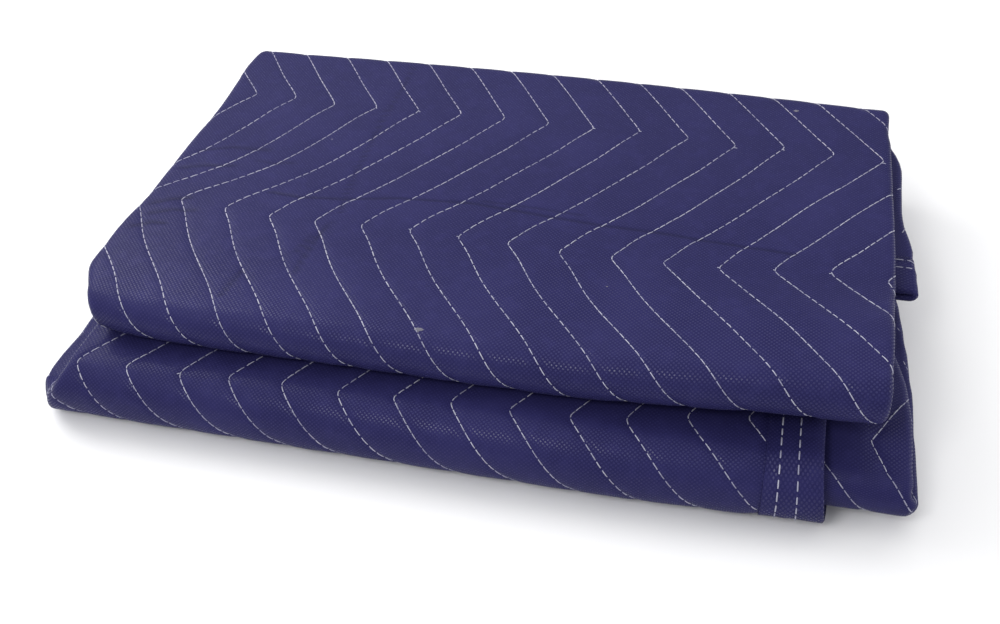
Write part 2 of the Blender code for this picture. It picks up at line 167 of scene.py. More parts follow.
# Places in x where every layer bends alike, in pitches
LEFT_NODES = (0.1, 1.2)
RIGHT_NODES = (8.8, 10.5, 12.1)

CORNERS = (
    Corner(-1.6, 0.30, 0.00),
    Corner(0.1, 0.06, 0.00),
    Corner(1.2, 0.00, 0.00),
    Corner(8.8, 0.00, 0.05),
    Corner(10.5, 0.00, 0.20),
    Corner(12.1, 0.00, 0.37),
    Corner(14.6, 0.00, 0.48),
)
LIFT_Y = (3.7, 6.1)
SAG = 0.16

# Shift from the measuring frame, in pitches, to the row's frame
SHIFT_X = -6.4885
SHIFT_Y = 2.9338
FLOOR = 0.5 * STRIP - LAYER - HALF


def smooth(value: float, low: float, high: float) -> float:
    """Ease from 0 at low to 1 at high.

    Args:
        value: the number to ease.
        low: where the ease starts.
        high: where it ends.

    Returns:
        A number from 0 to 1.
    """
    ratio = min(1.0, max(0.0, (value - low) / (high - low)))
    return ratio * ratio * (3.0 - 2.0 * ratio)


def hump(value: float, low: float, high: float) -> float:
    """Return a soft hump that is 1 midway between low and high and 0 outside."""
    ratio = min(1.0, max(0.0, (value - low) / (high - low)))
    return math.sin(math.pi * ratio) ** 2


def chance(*keys: float) -> float:
    """Return a fixed number from 0 to 1 for the given keys, uneven like chance."""
    total = sum(key * weight for key, weight in zip(keys, (12.9898, 78.233, 37.719)))
    return (math.sin(total) * 43758.5453) % 1.0


def along(nodes: Sequence[Sequence[float]], value: float, source: int, target: int) -> float:
    """Read a straight-line value between the rows of a list, in either direction.

    Args:
        nodes: rows of numbers, ordered.
        value: the number to look up.
        source: column that value belongs to.
        target: column to read.

    Returns:
        The value of the target column, carried on past both ends.
    """
    for low, high in zip(nodes[:-1], nodes[1:]):
        inside = (value - low[source]) * (value - high[source]) <= 0.0
        if inside and low[source] != high[source]:
            ratio = (value - low[source]) / (high[source] - low[source])
            return low[target] + (high[target] - low[target]) * ratio
    first, last = nodes[0], nodes[-1]
    near_first = abs(value - first[source]) < abs(value - last[source])
    end, inner = (first, nodes[1]) if near_first else (last, nodes[-2])
    slope = (end[target] - inner[target]) / (end[source] - inner[source])
    return end[target] + slope * (value - end[source])


def curve_between(rows: Sequence[Sequence[float]], place: int, value: float, column: int) -> float:
    """Read a smooth curve through the rows of a list, without overshoot.

    Args:
        rows: rows of numbers; the first of each is where it stands.
        place: the row before the value.
        value: where to read.
        column: which number to read.

    Returns:
        The curve's value.
    """
    def slope(i: int) -> float:
        """Return the curve's slope at a row."""
        if i <= 0 or i >= len(rows) - 1:
            return 0.0
        before = (rows[i][column] - rows[i - 1][column]) / (rows[i][0] - rows[i - 1][0])
        after = (rows[i + 1][column] - rows[i][column]) / (rows[i + 1][0] - rows[i][0])
        return 0.0 if before * after <= 0.0 else 2.0 * before * after / (before + after)

    span = rows[place + 1][0] - rows[place][0]
    u = (value - rows[place][0]) / span
    low, high = rows[place][column], rows[place + 1][column]
    rise = u * u * (3.0 - 2.0 * u)
    return (low + (high - low) * rise + span * slope(place) * u * (1.0 - u) ** 2
            - span * slope(place + 1) * u * u * (1.0 - u))


class FoldedStrip:
    """The blanket's folds: where each place of the flat cloth lies in the stack.

    A place is (s, t) in pitches, s across the blanket and t along it.
    """

    @staticmethod
    def run_of(t: float) -> tuple[Run, float]:
        """Return the run that t is in and the share of that run before it."""
        for run in Run:
            if t <= STARTS[run + 1] or run == Run.INNER_LAYER:
                return run, (t - STARTS[run]) / RUN_LENGTHS[run]
        return Run.FREE_LAYER, 0.0

    @staticmethod
    @lru_cache(maxsize=4096)
    def sides(t: float) -> tuple[float, float, float, float]:
        """Return left side, right side, outer and inner flap edge at t, as x in pitches."""
        rows = [(STARTS[row.run] + row.share * RUN_LENGTHS[row.run], *row[2:]) for row in SIDES]
        if t <= rows[0][0]:
            return rows[0][1:]
        if t >= rows[-1][0]:
            return rows[-1][1:]
        place = next(i for i in range(len(rows) - 1) if t <= rows[i + 1][0])
        left, right, flap, inner = (curve_between(rows, place, t, column) for column in (1, 2, 3, 4))
        share = (t - STARTS[Run.LOWER_FRONT_FOLD]) / RUN_LENGTHS[Run.LOWER_FRONT_FOLD]
        right += 0.04 * hump(share, -0.3, 1.3) * math.cos(math.tau * (share * 2.1 - 0.1))
        return left, right, flap, inner

    @classmethod
    def fold_centres(cls, t: float) -> tuple[float, float]:
        """Return x of the left and of the right side fold's centre at t."""
        left, right = cls.sides(t)[:2]
        return left + UNIT_LAYER + UNIT_HALF, right - UNIT_LAYER / 2.0 - UNIT_HALF

    @classmethod
    @lru_cache(maxsize=8192)
    def band_nodes(cls, t: float, band: Band) -> tuple[tuple[float, float], ...]:
        """Return pairs of place s and x along one flat band at t."""
        left_c, right_c = cls.fold_centres(t)
        flap_edge, inner_edge = cls.sides(t)[2:]
        nodes = LEFT_NODES + RIGHT_NODES
        if band == Band.INNER_FLAP:
            inner = [(EDGES[1] - (14.0 - x), x) for x in RIGHT_NODES]
            return ((0.0, inner_edge), *inner, (EDGES[1], right_c))
        if band == Band.MIDDLE:
            inner = [(EDGES[3] - (x + 0.6), x) for x in reversed(nodes)]
            return ((EDGES[2], right_c), *inner, (EDGES[3], left_c))
        inner = [(EDGES[4] + (x + 0.6), x) for x in nodes]
        return ((EDGES[4], left_c), *inner, (WIDE_END, flap_edge))

    @classmethod
    def x_of(cls, s: float, t: float, band: Band) -> float:
        """Return x of a place on a flat band, in pitches."""
        return along(cls.band_nodes(t, band), s, 0, 1)

    @classmethod
    def s_of(cls, x: float, t: float, band: Band) -> float:
        """Return the place s of an x on a flat band, in pitches."""
        return along(cls.band_nodes(t, band), x, 1, 0)

    @staticmethod
    def sag(t: float) -> float:
        """Return how far the inner layers stand off the outer one in the lower front fold."""
        rise = smooth(t, STARTS[7] - 1.6, STARTS[7])
        return SAG * rise * (1.0 - smooth(t, STARTS[8], STARTS[8] + 1.6))

    @classmethod
    def section(cls, s: float, t: float, out: float) -> tuple[float, float]:
        """Return x and height of a place in the C-shaped section across the strip.

        Args:
            s: place across the blanket.
            t: place along it.
            out: distance from the middle of the cloth to its outer face, in pitches.

        Returns:
            x and the height over the strip's middle, in pitches.
        """
        left_c, right_c = cls.fold_centres(t)
        drop = cls.sag(t)
        small = UNIT_LAYER / 2.0
        large = UNIT_LAYER + drop / 2.0
        if s <= EDGES[1]:
            return cls.x_of(s, t, Band.INNER_FLAP), drop - out
        if s <= EDGES[2]:
            turn = math.pi * (s - EDGES[1]) / BAND_WIDTHS[Band.RIGHT_FOLD]
            reach = small + out
            return right_c + reach * math.sin(turn), drop + small - reach * math.cos(turn)
        if s <= EDGES[3]:
            return cls.x_of(s, t, Band.MIDDLE), UNIT_LAYER + drop + out
        if s <= EDGES[4]:
            turn = math.pi * (s - EDGES[3]) / BAND_WIDTHS[Band.LEFT_FOLD]
            x = left_c - (UNIT_LAYER + out) * math.sin(turn)
            return x, drop / 2.0 + (large + out) * math.cos(turn)
        return cls.x_of(s, t, Band.OUTER_FLAP), -UNIT_LAYER - out

    @staticmethod
    def slant(pair: tuple[float, float], x: float) -> float:
        """Return the y of a slanting fold line at x."""
        ratio = min(1.2, max(-0.2, (x - LEFT_X) / (RIGHT_X - LEFT_X)))
        return pair[0] + (pair[1] - pair[0]) * ratio

    @staticmethod
    def back_bow(x: float) -> float:
        """Return how far the upper back fold bows out at x, in pitches."""
        return BACK_BOW * max(0.0, 1.0 - ((x - 7.0) / 6.6) ** 2)

    @staticmethod
    def ramp(y: float) -> float:
        """Return the height of the second layer's middle at y, in pitches."""
        return UNIT_STRIP * (2.5 + smooth(-y, 3.55, 6.80))

    @classmethod
    def ramp_face(cls, y: float, drop: float) -> tuple[float, float, float, float]:
        """Return y, z and the face direction (y, z) of a layer on the ramp."""
        slope = (cls.ramp(y + 0.01) - cls.ramp(y - 0.01)) / 0.02
        size = math.hypot(1.0, slope)
        return y, cls.ramp(y) - drop, slope / size, -1.0 / size

    @classmethod
    def middle(cls, t: float, x: float) -> tuple[float, float, float, float]:
        """Return the middle of the strip at t and x.

        Args:
            t: place along the blanket.
            x: where across the stack, in pitches.

        Returns:
            y and z in pitches, and the direction (y, z) of the first face.
        """
        run, share = cls.run_of(t)
        back_top, back_low = cls.slant(BACK_TOP, x), cls.slant(BACK_LOW, x)
        front_top = cls.slant(FRONT_TOP, x)
        front_low = cls.slant(FRONT_LOW, x) + FRONT_DRAW * smooth(x, 9.0, 14.0)
        bow = cls.back_bow(x)
        if run == Run.FREE_LAYER:
            y = FREE_END + (back_top - FREE_END) * share + bow * smooth(share, 0.8, 1.0)
            return y, 3.5 * UNIT_STRIP, 0.0, -1.0
        if run == Run.TOP_LAYER:
            y = back_top + (front_top - back_top) * share + bow * (1.0 - smooth(share, 0.0, 0.2))
            return y, 4.5 * UNIT_STRIP, 0.0, 1.0
        if run == Run.SECOND_LAYER:
            return cls.ramp_face(front_top + (back_low - front_top) * share, 0.0)
        if run == Run.BOTTOM_LAYER:
            return back_low + (front_low - back_low) * share, 0.5 * UNIT_STRIP, 0.0, 1.0
        if run == Run.INNER_LAYER:
            return cls.ramp_face(front_low + (HIDDEN_END - front_low) * share, UNIT_STRIP)
        if run in (Run.UPPER_BACK_FOLD, Run.UPPER_FRONT_FOLD):
            start = -0.5 if run == Run.UPPER_BACK_FOLD else 0.5
            centre = back_top + bow if run == Run.UPPER_BACK_FOLD else front_top
            ny, nz = math.cos(math.pi * (start + share)), math.sin(math.pi * (start + share))
            reach = 0.5 * UNIT_STRIP
            return centre + reach * ny, 4.0 * UNIT_STRIP + reach * nz, ny, nz
        side = -1.0 if run == Run.LOWER_BACK_FOLD else 1.0
        centre = back_low if run == Run.LOWER_BACK_FOLD else front_low
        ny, nz = side * math.sin(math.pi * share), side * math.cos(math.pi * share)
        return centre - UNIT_STRIP * ny, 1.5 * UNIT_STRIP - UNIT_STRIP * nz, ny, nz

    @classmethod
    def point(cls, s: float, t: float, out: float) -> Vector:
        """Return the world point at a place, out metres from the middle to the outer face."""
        x, height = cls.section(s, t, out / PITCH)
        y, z, ny, nz = cls.middle(t, x)
        y += height * ny
        z += height * nz
        if t < STARTS[Run.LOWER_BACK_FOLD]:
            front = smooth(-y, 5.0, 6.8)
            rise = smooth(-y, *LIFT_Y)
            y += along(CORNERS, x, 0, 1) * front
            z += along(CORNERS, x, 0, 2) * rise
        return Vector(((x + SHIFT_X) * PITCH, (y + SHIFT_Y) * PITCH, z * PITCH - FLOOR))

    @classmethod
    def beyond(cls, s: float, t: float, out: float) -> Vector:
        """Return a world point at a place that may lie just past the cloth's edge."""
        inside_s = min(WIDE_END, max(0.0, s))
        inside_t = min(LONG_END, max(0.0, t))
        point = cls.point(inside_s, inside_t, out)
        for gap, step_s, step_t in (
            (s - inside_s, math.copysign(0.05, s - inside_s), 0.0),
            (t - inside_t, 0.0, math.copysign(0.05, t - inside_t)),
        ):
            if gap:
                near = cls.point(inside_s - step_s, inside_t - step_t, out)
                point = point + (point - near).normalized() * abs(gap) * PITCH
        return point

    @staticmethod
    def edge_distance(s: float, t: float) -> float:
        """Return the distance in metres from the nearest bound edge."""
        return min(s, WIDE_END - s, t, LONG_END - t) * PITCH

    @classmethod
    def half_thickness(cls, s: float, t: float) -> float:
        """Return half the cloth's thickness, which the bindings squeeze."""
        ratio = smooth(cls.edge_distance(s, t), TAPE_WIDTH + 0.0008, TAPE_WIDTH + 0.009)
        return HALF_EDGE + (HALF - HALF_EDGE) * ratio


class Tip(NamedTuple):
    """A turning point of a stitch line, in pitches."""

    x: float
    run: float


class Level(Enum):
    """Parts of the stack whose stitch lines are laid out together."""

    UPPER = "upper"
    LOWER = "lower"
    FLAP = "flap"


class Spur(NamedTuple):
    """A loose thread end at the tip of a stitch line; its reach is in pitches."""

    level: Level
    number: int
    at_back: bool
    across: float
    forward: float


@dataclass(frozen=True)
class Quilting:
    """The zigzag stitch lines and the soft relief that they pull into the cloth."""

    rows: float = 4.084
    reach: float = 2.966
    slope: float = 0.726
    groove: float = 0.0010
    crown: float = 0.0005
    top_share: float = 0.45
    outer_front: float = 4.0
    groove_width: float = 0.085
    upper_fold_arc: float = 1.50
    lower_fold_arc: float = 2.51
    right_wrap: float = 0.54
    left_wrap: float = 0.69
    back_tips: tuple[float, ...] = (
        0.01, 0.04, -0.08, -0.01, 0.01, 0.07, 0.08, 0.05, 0.05, 0.12, -0.01, -0.13, -0.01, -0.06, -0.13,
    )
    front_tips: tuple[float, ...] = (
        -3.86, -4.04, -4.18, -4.16, -4.10, -4.07, -4.09, -4.10,
        -4.18, -4.17, -4.15, -4.11, -4.00, -3.88, -3.97,
    )
    front_shifts: tuple[float, ...] = (-0.07, 0.0, 0.08, 0.045)
    low_tips: tuple[Tip, ...] = (
        Tip(-1.60, -0.30), Tip(-0.57, -0.25), Tip(0.45, -0.21), Tip(1.54, -0.176), Tip(2.51, -0.117),
        Tip(3.54, -0.06), Tip(4.63, -0.08), Tip(5.67, -0.01), Tip(6.72, 0.076), Tip(7.78, 0.085),
        Tip(8.85, 0.137), Tip(9.82, 0.255), Tip(10.84, 0.475), Tip(11.86, 0.609), Tip(12.9, 0.72),
    )

    spurs: tuple[Spur, ...] = (
        Spur(Level.UPPER, 3, True, 0.03, 0.06), Spur(Level.UPPER, 4, True, 0.05, 0.04),
        Spur(Level.UPPER, 8, True, 0.05, 0.02), Spur(Level.UPPER, 9, True, 0.05, 0.02),
        Spur(Level.UPPER, 11, True, 0.08, 0.03), Spur(Level.UPPER, 12, True, 0.04, 0.04),
        Spur(Level.UPPER, 14, True, 0.08, 0.03), Spur(Level.UPPER, 8, False, -0.04, -0.03),
        Spur(Level.UPPER, 9, False, -0.05, 0.0), Spur(Level.UPPER, 14, False, -0.05, 0.0),
        Spur(Level.UPPER, 15, False, -0.04, -0.02), Spur(Level.UPPER, 16, False, -0.05, 0.02),
        Spur(Level.LOWER, 3, False, -0.06, -0.02),
    )

    def tip_place(self, spur: Spur) -> float:
        """Return the place t of the tip that a loose thread end stands at."""
        if spur.level == Level.LOWER:
            return STARTS[8] + self.low_tips[spur.number].run * RUN_LENGTHS[7] / self.lower_fold_arc
        tip = self.back_tips[spur.number] if spur.at_back else self.front_tips[spur.number - 3]
        back = BACK_TOP[0] - 0.2
        return STARTS[2] + (back - tip) * RUN_LENGTHS[2] / (back - FRONT_TOP[0])

    def upper_distance(self, t: float) -> float:
        """Return the distance run forward of the row of back tips, on the upper layers."""
        back, front = BACK_TOP[0] - 0.2, -FRONT_TOP[0]
        if t < STARTS[1]:
            return -back - self.upper_fold_arc - (STARTS[1] - t)
        if t < STARTS[2]:
            return -back - (STARTS[2] - t) * self.upper_fold_arc / RUN_LENGTHS[1]
        if t < STARTS[3]:
            return -back + (t - STARTS[2]) * (front + back) / RUN_LENGTHS[2]
        if t < STARTS[4]:
            return front + (t - STARTS[3]) * self.upper_fold_arc / RUN_LENGTHS[3]
        return front + self.upper_fold_arc + (t - STARTS[4])

    def lower_distance(self, t: float) -> float:
        """Return the distance run backwards from the top of the lower front fold."""
        if t > STARTS[8]:
            return t - STARTS[8]
        if t > STARTS[7]:
            return (t - STARTS[8]) * self.lower_fold_arc / RUN_LENGTHS[7]
        if t > STARTS[6]:
            return t - STARTS[7] - self.lower_fold_arc
        in_back_fold = (t - STARTS[6]) * self.lower_fold_arc / RUN_LENGTHS[5]
        return in_back_fold + STARTS[6] - STARTS[7] - self.lower_fold_arc

    def flat_place(self, s: float, t: float) -> tuple[float, float, float]:
        """Return where a place of the outer face lies on the unfolded cloth, in metres."""
        across = self.wrapped_x(s, t)[1]
        if t < STARTS[Run.LOWER_BACK_FOLD]:
            length = self.upper_distance(t)
        else:
            start = STARTS[Run.LOWER_BACK_FOLD]
            length = self.upper_distance(start) + self.lower_distance(t) - self.lower_distance(start)
        return across * PITCH, length * PITCH, 0.0

    def upper_x(self, number: int, t: float) -> float:
        """Return x of one stitch line on the middle band of the upper layers.

        The even zigzag has small bends added where the photograph shows them; their
        heights and the stretches that they cover are all in pitches.

        Args:
            number: the line's number, counted from the left.
            t: place along the blanket.

        Returns:
            x in pitches.
        """
        run = self.upper_distance(t)
        back = -self.back_tips[min(14, max(0, number))]
        front = -self.front_tips[min(14, number - 3)] if number >= 3 else self.outer_front
        period = 2.0 * self.rows
        if run > front + self.rows:
            return self.plain_x(number, run)
        if run < back - self.rows:
            return self.plain_x(number, run)
        lean = -0.10 + 0.04 * smooth(number, 0.5, 2.0) + 0.07 * smooth(number, 4.5, 6.5)
        before = number + self.slope * (run - back) + lean * smooth(-run, 0.0, 1.0)
        before += 0.11 * smooth(number, 9.0, 10.5)
        between = number - self.reach * (run - back) / (front - back)
        between += 0.07 * smooth(run, 0.2, 1.2) * (1.0 - smooth(run, 2.4, 3.4))
        between -= 0.06 * hump(run, 3.1, 4.1)
        between += 0.33 * (1.0 - smooth(number, 3.0, 5.5)) * smooth(number, -1.0, 1.0) * hump(run, 0.2, 4.6)
        between -= 0.18 * smooth(number, 12.5, 14.0) * hump(run, -0.3, 4.3)
        after = number - self.reach + self.slope * (run - front)
        after -= 0.11 * (1.0 - smooth(number, 11.5, 13.5)) * hump(run, front, front + 2.6)
        after += 0.03 * smooth(number, 11.0, 13.5) * max(0.0, run - front - 0.4)
        if 3 <= number < 3 + len(self.front_shifts):
            after += self.front_shifts[number - 3]
        blend = 0.04 + 0.08 * chance(number, 1.0)
        if run < 0.5 * (front + back):
            return self.soft_least(before, between, blend)
        blend = 0.04 + 0.10 * chance(number, 2.0)
        turn = -self.soft_least(-between, -after, blend)
        turn -= 0.05 * math.exp(-(((run - front) / 0.3) ** 2))
        limit = front + self.rows
        return turn + (self.plain_x(number, run) - turn) * smooth(run, limit - 1.5, limit) * (run < period)

    def plain_x(self, number: int, run: float) -> float:
        """Return x of a stitch line's even zigzag."""
        phase = (run / self.rows) % 2.0
        return number - self.reach * min(phase, 2.0 - phase)

    @staticmethod
    def soft_least(first: float, second: float, blend: float) -> float:
        """Return the lesser of two numbers, rounded where they meet."""
        gap = first - second
        return 0.5 * (first + second - math.sqrt(gap * gap + blend * blend))

    def lower_x(self, number: int, t: float) -> float:
        """Return x of one stitch line on the outer flap of the lower layers.

        Args:
            number: the line's number, counted from the left.
            t: place along the blanket.

        Returns:
            x in pitches.
        """
        run = self.lower_distance(t)
        count = len(self.low_tips)
        tip = self.low_tips[min(count - 1, max(0, number))]
        extra = number - min(count - 1, max(0, number))
        along_run = run - tip.run
        far = abs(along_run)
        period = 2.0 * self.rows
        fold = far % period
        zig = fold if fold < self.rows else period - fold
        blend = 0.05 + 0.07 * chance(number, 3.0)
        slope = 0.62 if number == 1 and along_run < 0.0 else self.slope
        return tip.x + extra * 1.03 + slope * (math.sqrt(zig * zig + blend * blend) - blend)

    def flap_x(self, number: int, t: float) -> float:
        """Return x of one stitch line on the inner flap's showing corner, in pitches."""
        run = self.lower_distance(t)
        tip, bend = 0.648, 0.5
        if run > tip:
            return 13.916 + number + 0.575 * (run - tip)
        near = 13.916 + number + 0.451 * min(tip - run, bend)
        return near + (0.336 - 0.07 * number) * max(0.0, tip - run - bend)

    def x_of(self, level: Level, number: int, t: float) -> float:
        """Return x of one stitch line of a level, in pitches."""
        if level == Level.UPPER:
            return self.upper_x(number, t)
        if level == Level.LOWER:
            return self.lower_x(number, t)
        return self.flap_x(number, t)

    def between_x(self, level: Level, place: float, t: float) -> float:
        """Return x of a place between two stitch lines, counted in lines."""
        number = math.floor(place)
        share = place - number
        low = self.x_of(level, number, t)
        if share < 1e-9:
            return low
        return low + (self.x_of(level, number + 1, t) - low) * share

    def phase(self, level: Level, x: float, t: float) -> tuple[float, float]:
        """Return the share of the way from one stitch line to the next, and their gap."""
        number = int(round(x + (self.reach if level == Level.UPPER else 0.0)))
        while self.x_of(level, number, t) > x:
            number -= 1
        while self.x_of(level, number + 1, t) <= x:
            number += 1
        low = self.x_of(level, number, t)
        gap = self.x_of(level, number + 1, t) - low
        return (x - low) / gap, gap

    def place(self, level: Level, x: float, t: float) -> tuple[float, bool]:
        """Return the place s of an x on a level, wrapped round the side folds.

        Args:
            level: which stitch lines.
            x: across the stack, in pitches; past a side fold's centre it wraps round.
            t: place along the blanket.

        Returns:
            The place s, and whether it is on the level's own bands.
        """
        left_c, right_c = FoldedStrip.fold_centres(t)
        if level == Level.FLAP:
            if x > right_c:
                s = EDGES[1] + (x - right_c) * self.right_wrap
                return s, s <= EDGES[2]
            return FoldedStrip.s_of(x, t, Band.INNER_FLAP), x > LEFT_X
        if level == Level.UPPER:
            if x > right_c:
                s = EDGES[2] - (x - right_c) * self.right_wrap
                return s, s >= EDGES[1]
            if x < left_c:
                s = EDGES[3] + (left_c - x) * self.left_wrap
                return s, s <= EDGES[4]
            return FoldedStrip.s_of(x, t, Band.MIDDLE), True
        if x < left_c:
            s = EDGES[4] - (left_c - x) * self.left_wrap
            return s, s >= EDGES[3]
        s = FoldedStrip.s_of(x, t, Band.OUTER_FLAP)
        return s, s <= WIDE_END

    def wrapped_x(self, s: float, t: float) -> tuple[Level, float]:
        """Return the level and the wrapped x of a place of the cloth's outer face."""
        left_c, right_c = FoldedStrip.fold_centres(t)
        lower = t >= STARTS[Run.LOWER_BACK_FOLD]
        if s < EDGES[1]:
            return Level.FLAP, FoldedStrip.x_of(s, t, Band.INNER_FLAP)
        if s < EDGES[2]:
            if lower:
                return Level.FLAP, right_c + (s - EDGES[1]) / self.right_wrap
            return Level.UPPER, right_c + (EDGES[2] - s) / self.right_wrap
        if s <= EDGES[3]:
            return Level.UPPER, FoldedStrip.x_of(s, t, Band.MIDDLE)
        if s < EDGES[4]:
            if lower:
                return Level.LOWER, left_c - (EDGES[4] - s) / self.left_wrap
            return Level.UPPER, left_c - (s - EDGES[3]) / self.left_wrap
        return Level.LOWER, FoldedStrip.x_of(s, t, Band.OUTER_FLAP)

    @staticmethod
    def shown(s: float, t: float) -> float:
        """Return 1 where the quilting stands free and 0 where other layers press on it."""
        lower = t >= STARTS[Run.LOWER_BACK_FOLD]
        if s < EDGES[1]:
            free = smooth(t, STARTS[7] + 0.1, STARTS[7] + 0.5)
            free *= 1.0 - smooth(t, STARTS[8] + 0.9, STARTS[8] + 1.2)
            return free * smooth(s, EDGES[1] - 1.6, EDGES[1] - 1.3)
        if s < EDGES[2] or EDGES[3] < s < EDGES[4]:
            return 0.8
        if s <= EDGES[3]:
            if lower:
                return 0.0
            free = smooth(t, STARTS[1] - 0.1, STARTS[1] + 0.3)
            return free * (1.0 - smooth(t, STARTS[4] - 0.2, STARTS[4] + 0.3))
        back = smooth(t, STARTS[5], STARTS[5] + 0.3) * (1.0 - smooth(t, STARTS[6] - 0.5, STARTS[6]))
        front = smooth(t, STARTS[7] + 0.15, STARTS[7] + 0.5)
        front *= 1.0 - smooth(t, STARTS[8] + 0.8, STARTS[8] + 1.2)
        return (back + front) * smooth(WIDE_END - UNIT_TAPE - 0.08 - s, 0.0, 0.25)

    def relief(self, s: float, t: float) -> float:
        """Return the height of the quilting over the plain cloth, in metres."""
        amount = self.shown(s, t)
        if amount <= 0.0:
            return 0.0
        level, x = self.wrapped_x(s, t)
        phase, gap = self.phase(level, x, t)
        near = min(phase, 1.0 - phase) * gap
        groove = math.exp(-((near / self.groove_width) ** 2))
        crown = math.sin(math.pi * phase) ** 0.8
        pucker = 0.00020 * math.exp(-near / 0.16) * noise.noise(Vector((s * 2.3, t * 7.0, 3.0)))
        share = self.top_share
        if STARTS[3] < t < STARTS[4] or t > STARTS[6]:
            share += (1.0 - share) * 0.75
        return amount * (share * (self.crown * crown - self.groove * groove) + pucker + self.wrinkle(s, t))

    @staticmethod
    def wrinkle(s: float, t: float) -> float:
        """Return the height of the soft wrinkles at a place, in metres."""
        bent = 1.0 if STARTS[3] < t < STARTS[4] or t > STARTS[6] else 0.45
        broad = noise.noise(Vector((s * 0.9, t * 1.0, 8.0)))
        fine = noise.noise(Vector((s * 2.1, t * 3.1, 5.0)))
        ridge = max(0.0, 1.0 - 7.0 * abs(noise.noise(Vector((s * 1.1, t * 1.6, 12.0)))))
        patch = smooth(noise.noise(Vector((s * 0.5, t * 0.5, 21.0))), 0.0, 0.4)
        return bent * (0.00045 * broad + 0.00022 * fine - 0.00030 * ridge * patch)


class Crease(NamedTuple):
    """A soft crease on the top: its points in pitches, its depth and half width in metres."""

    points: tuple[tuple[float, float], ...]
    depth: float
    half_width: float


@dataclass(frozen=True)
class Creases:
    """Pressed creases of the top layer, with the painted shade that darkens them."""

    lines: tuple[Crease, ...] = (
        Crease(((1.77, -3.36), (2.46, -3.42), (3.31, -3.34), (4.52, -3.11), (5.97, -3.02), (7.45, -3.17),
                (8.66, -3.28), (9.83, -3.32), (10.94, -3.42), (12.38, -3.52)), 0.00055, 0.0016),
        Crease(((3.30, 1.90), (3.33, 1.0), (3.27, -0.2), (3.29, -1.2), (3.34, -2.7), (3.42, -3.5),
                (3.49, -3.85)), 0.0005, 0.0015),
        Crease(((6.2, -2.92), (7.4, -2.97), (8.3, -3.04)), 0.0004, 0.0013),
        Crease(((3.37, -4.09), (3.24, -4.84), (3.23, -5.65)), 0.0005, 0.0020),
        Crease(((3.14, -4.60), (3.02, -5.12)), 0.0005, 0.0018),
        Crease(((2.20, -5.80), (2.13, -6.19), (2.08, -6.54)), 0.0005, 0.0020),
        Crease(((-0.58, -4.14), (-0.23, -3.94), (0.16, -3.81)), 0.0007, 0.0020),
        Crease(((-0.45, -4.45), (0.03, -4.24), (0.46, -4.20)), 0.0006, 0.0020),
        Crease(((-0.63, -4.91), (-0.29, -4.72), (0.05, -4.70)), 0.0006, 0.0020),
        Crease(((-0.37, -2.19), (0.36, -1.96), (1.18, -1.94)), 0.0005, 0.0020),
        Crease(((-0.51, -2.89), (-0.01, -2.70), (0.60, -2.62)), 0.0005, 0.0020),
        Crease(((1.02, -2.34), (1.48, -2.38), (1.90, -2.30)), 0.0004, 0.0016),
    )

    reach: float = 0.3
    # Crease depth at which the painted crease shade is fullest.
    full_shade_depth: float = 0.0008

    def dip(self, x: float, y: float) -> tuple[float, float]:
        """Find how deep the creases are at a point of the top.

        Args:
            x: across the stack, in pitches.
            y: along the stack, in pitches.

        Returns:
            The depth in metres, and how much painted shade the creases get, 0 to 1.
        """
        depth = dark = 0.0
        for line in self.lines:
            nearest = 1e9
            for (x0, y0), (x1, y1) in zip(line.points[:-1], line.points[1:]):
                near_x = min(x0, x1) - self.reach < x < max(x0, x1) + self.reach
                near_y = min(y0, y1) - self.reach < y < max(y0, y1) + self.reach
                if not (near_x and near_y):
                    continue
                dx, dy = x1 - x0, y1 - y0
                share = ((x - x0) * dx + (y - y0) * dy) / (dx * dx + dy * dy)
                share = min(1.0, max(0.0, share))
                nearest = min(nearest, math.hypot(x - x0 - dx * share, y - y0 - dy * share))
            amount = math.exp(-((nearest * PITCH / line.half_width) ** 2))
            depth += line.depth * amount
            dark = max(dark, amount * line.depth / self.full_shade_depth)
        return depth, min(1.0, dark)


class Row(NamedTuple):
    """One row of points across the cloth: its place t, its kind, and (key, s) pairs."""

    t: float
    kind: str
    columns: list[tuple[float, float]]


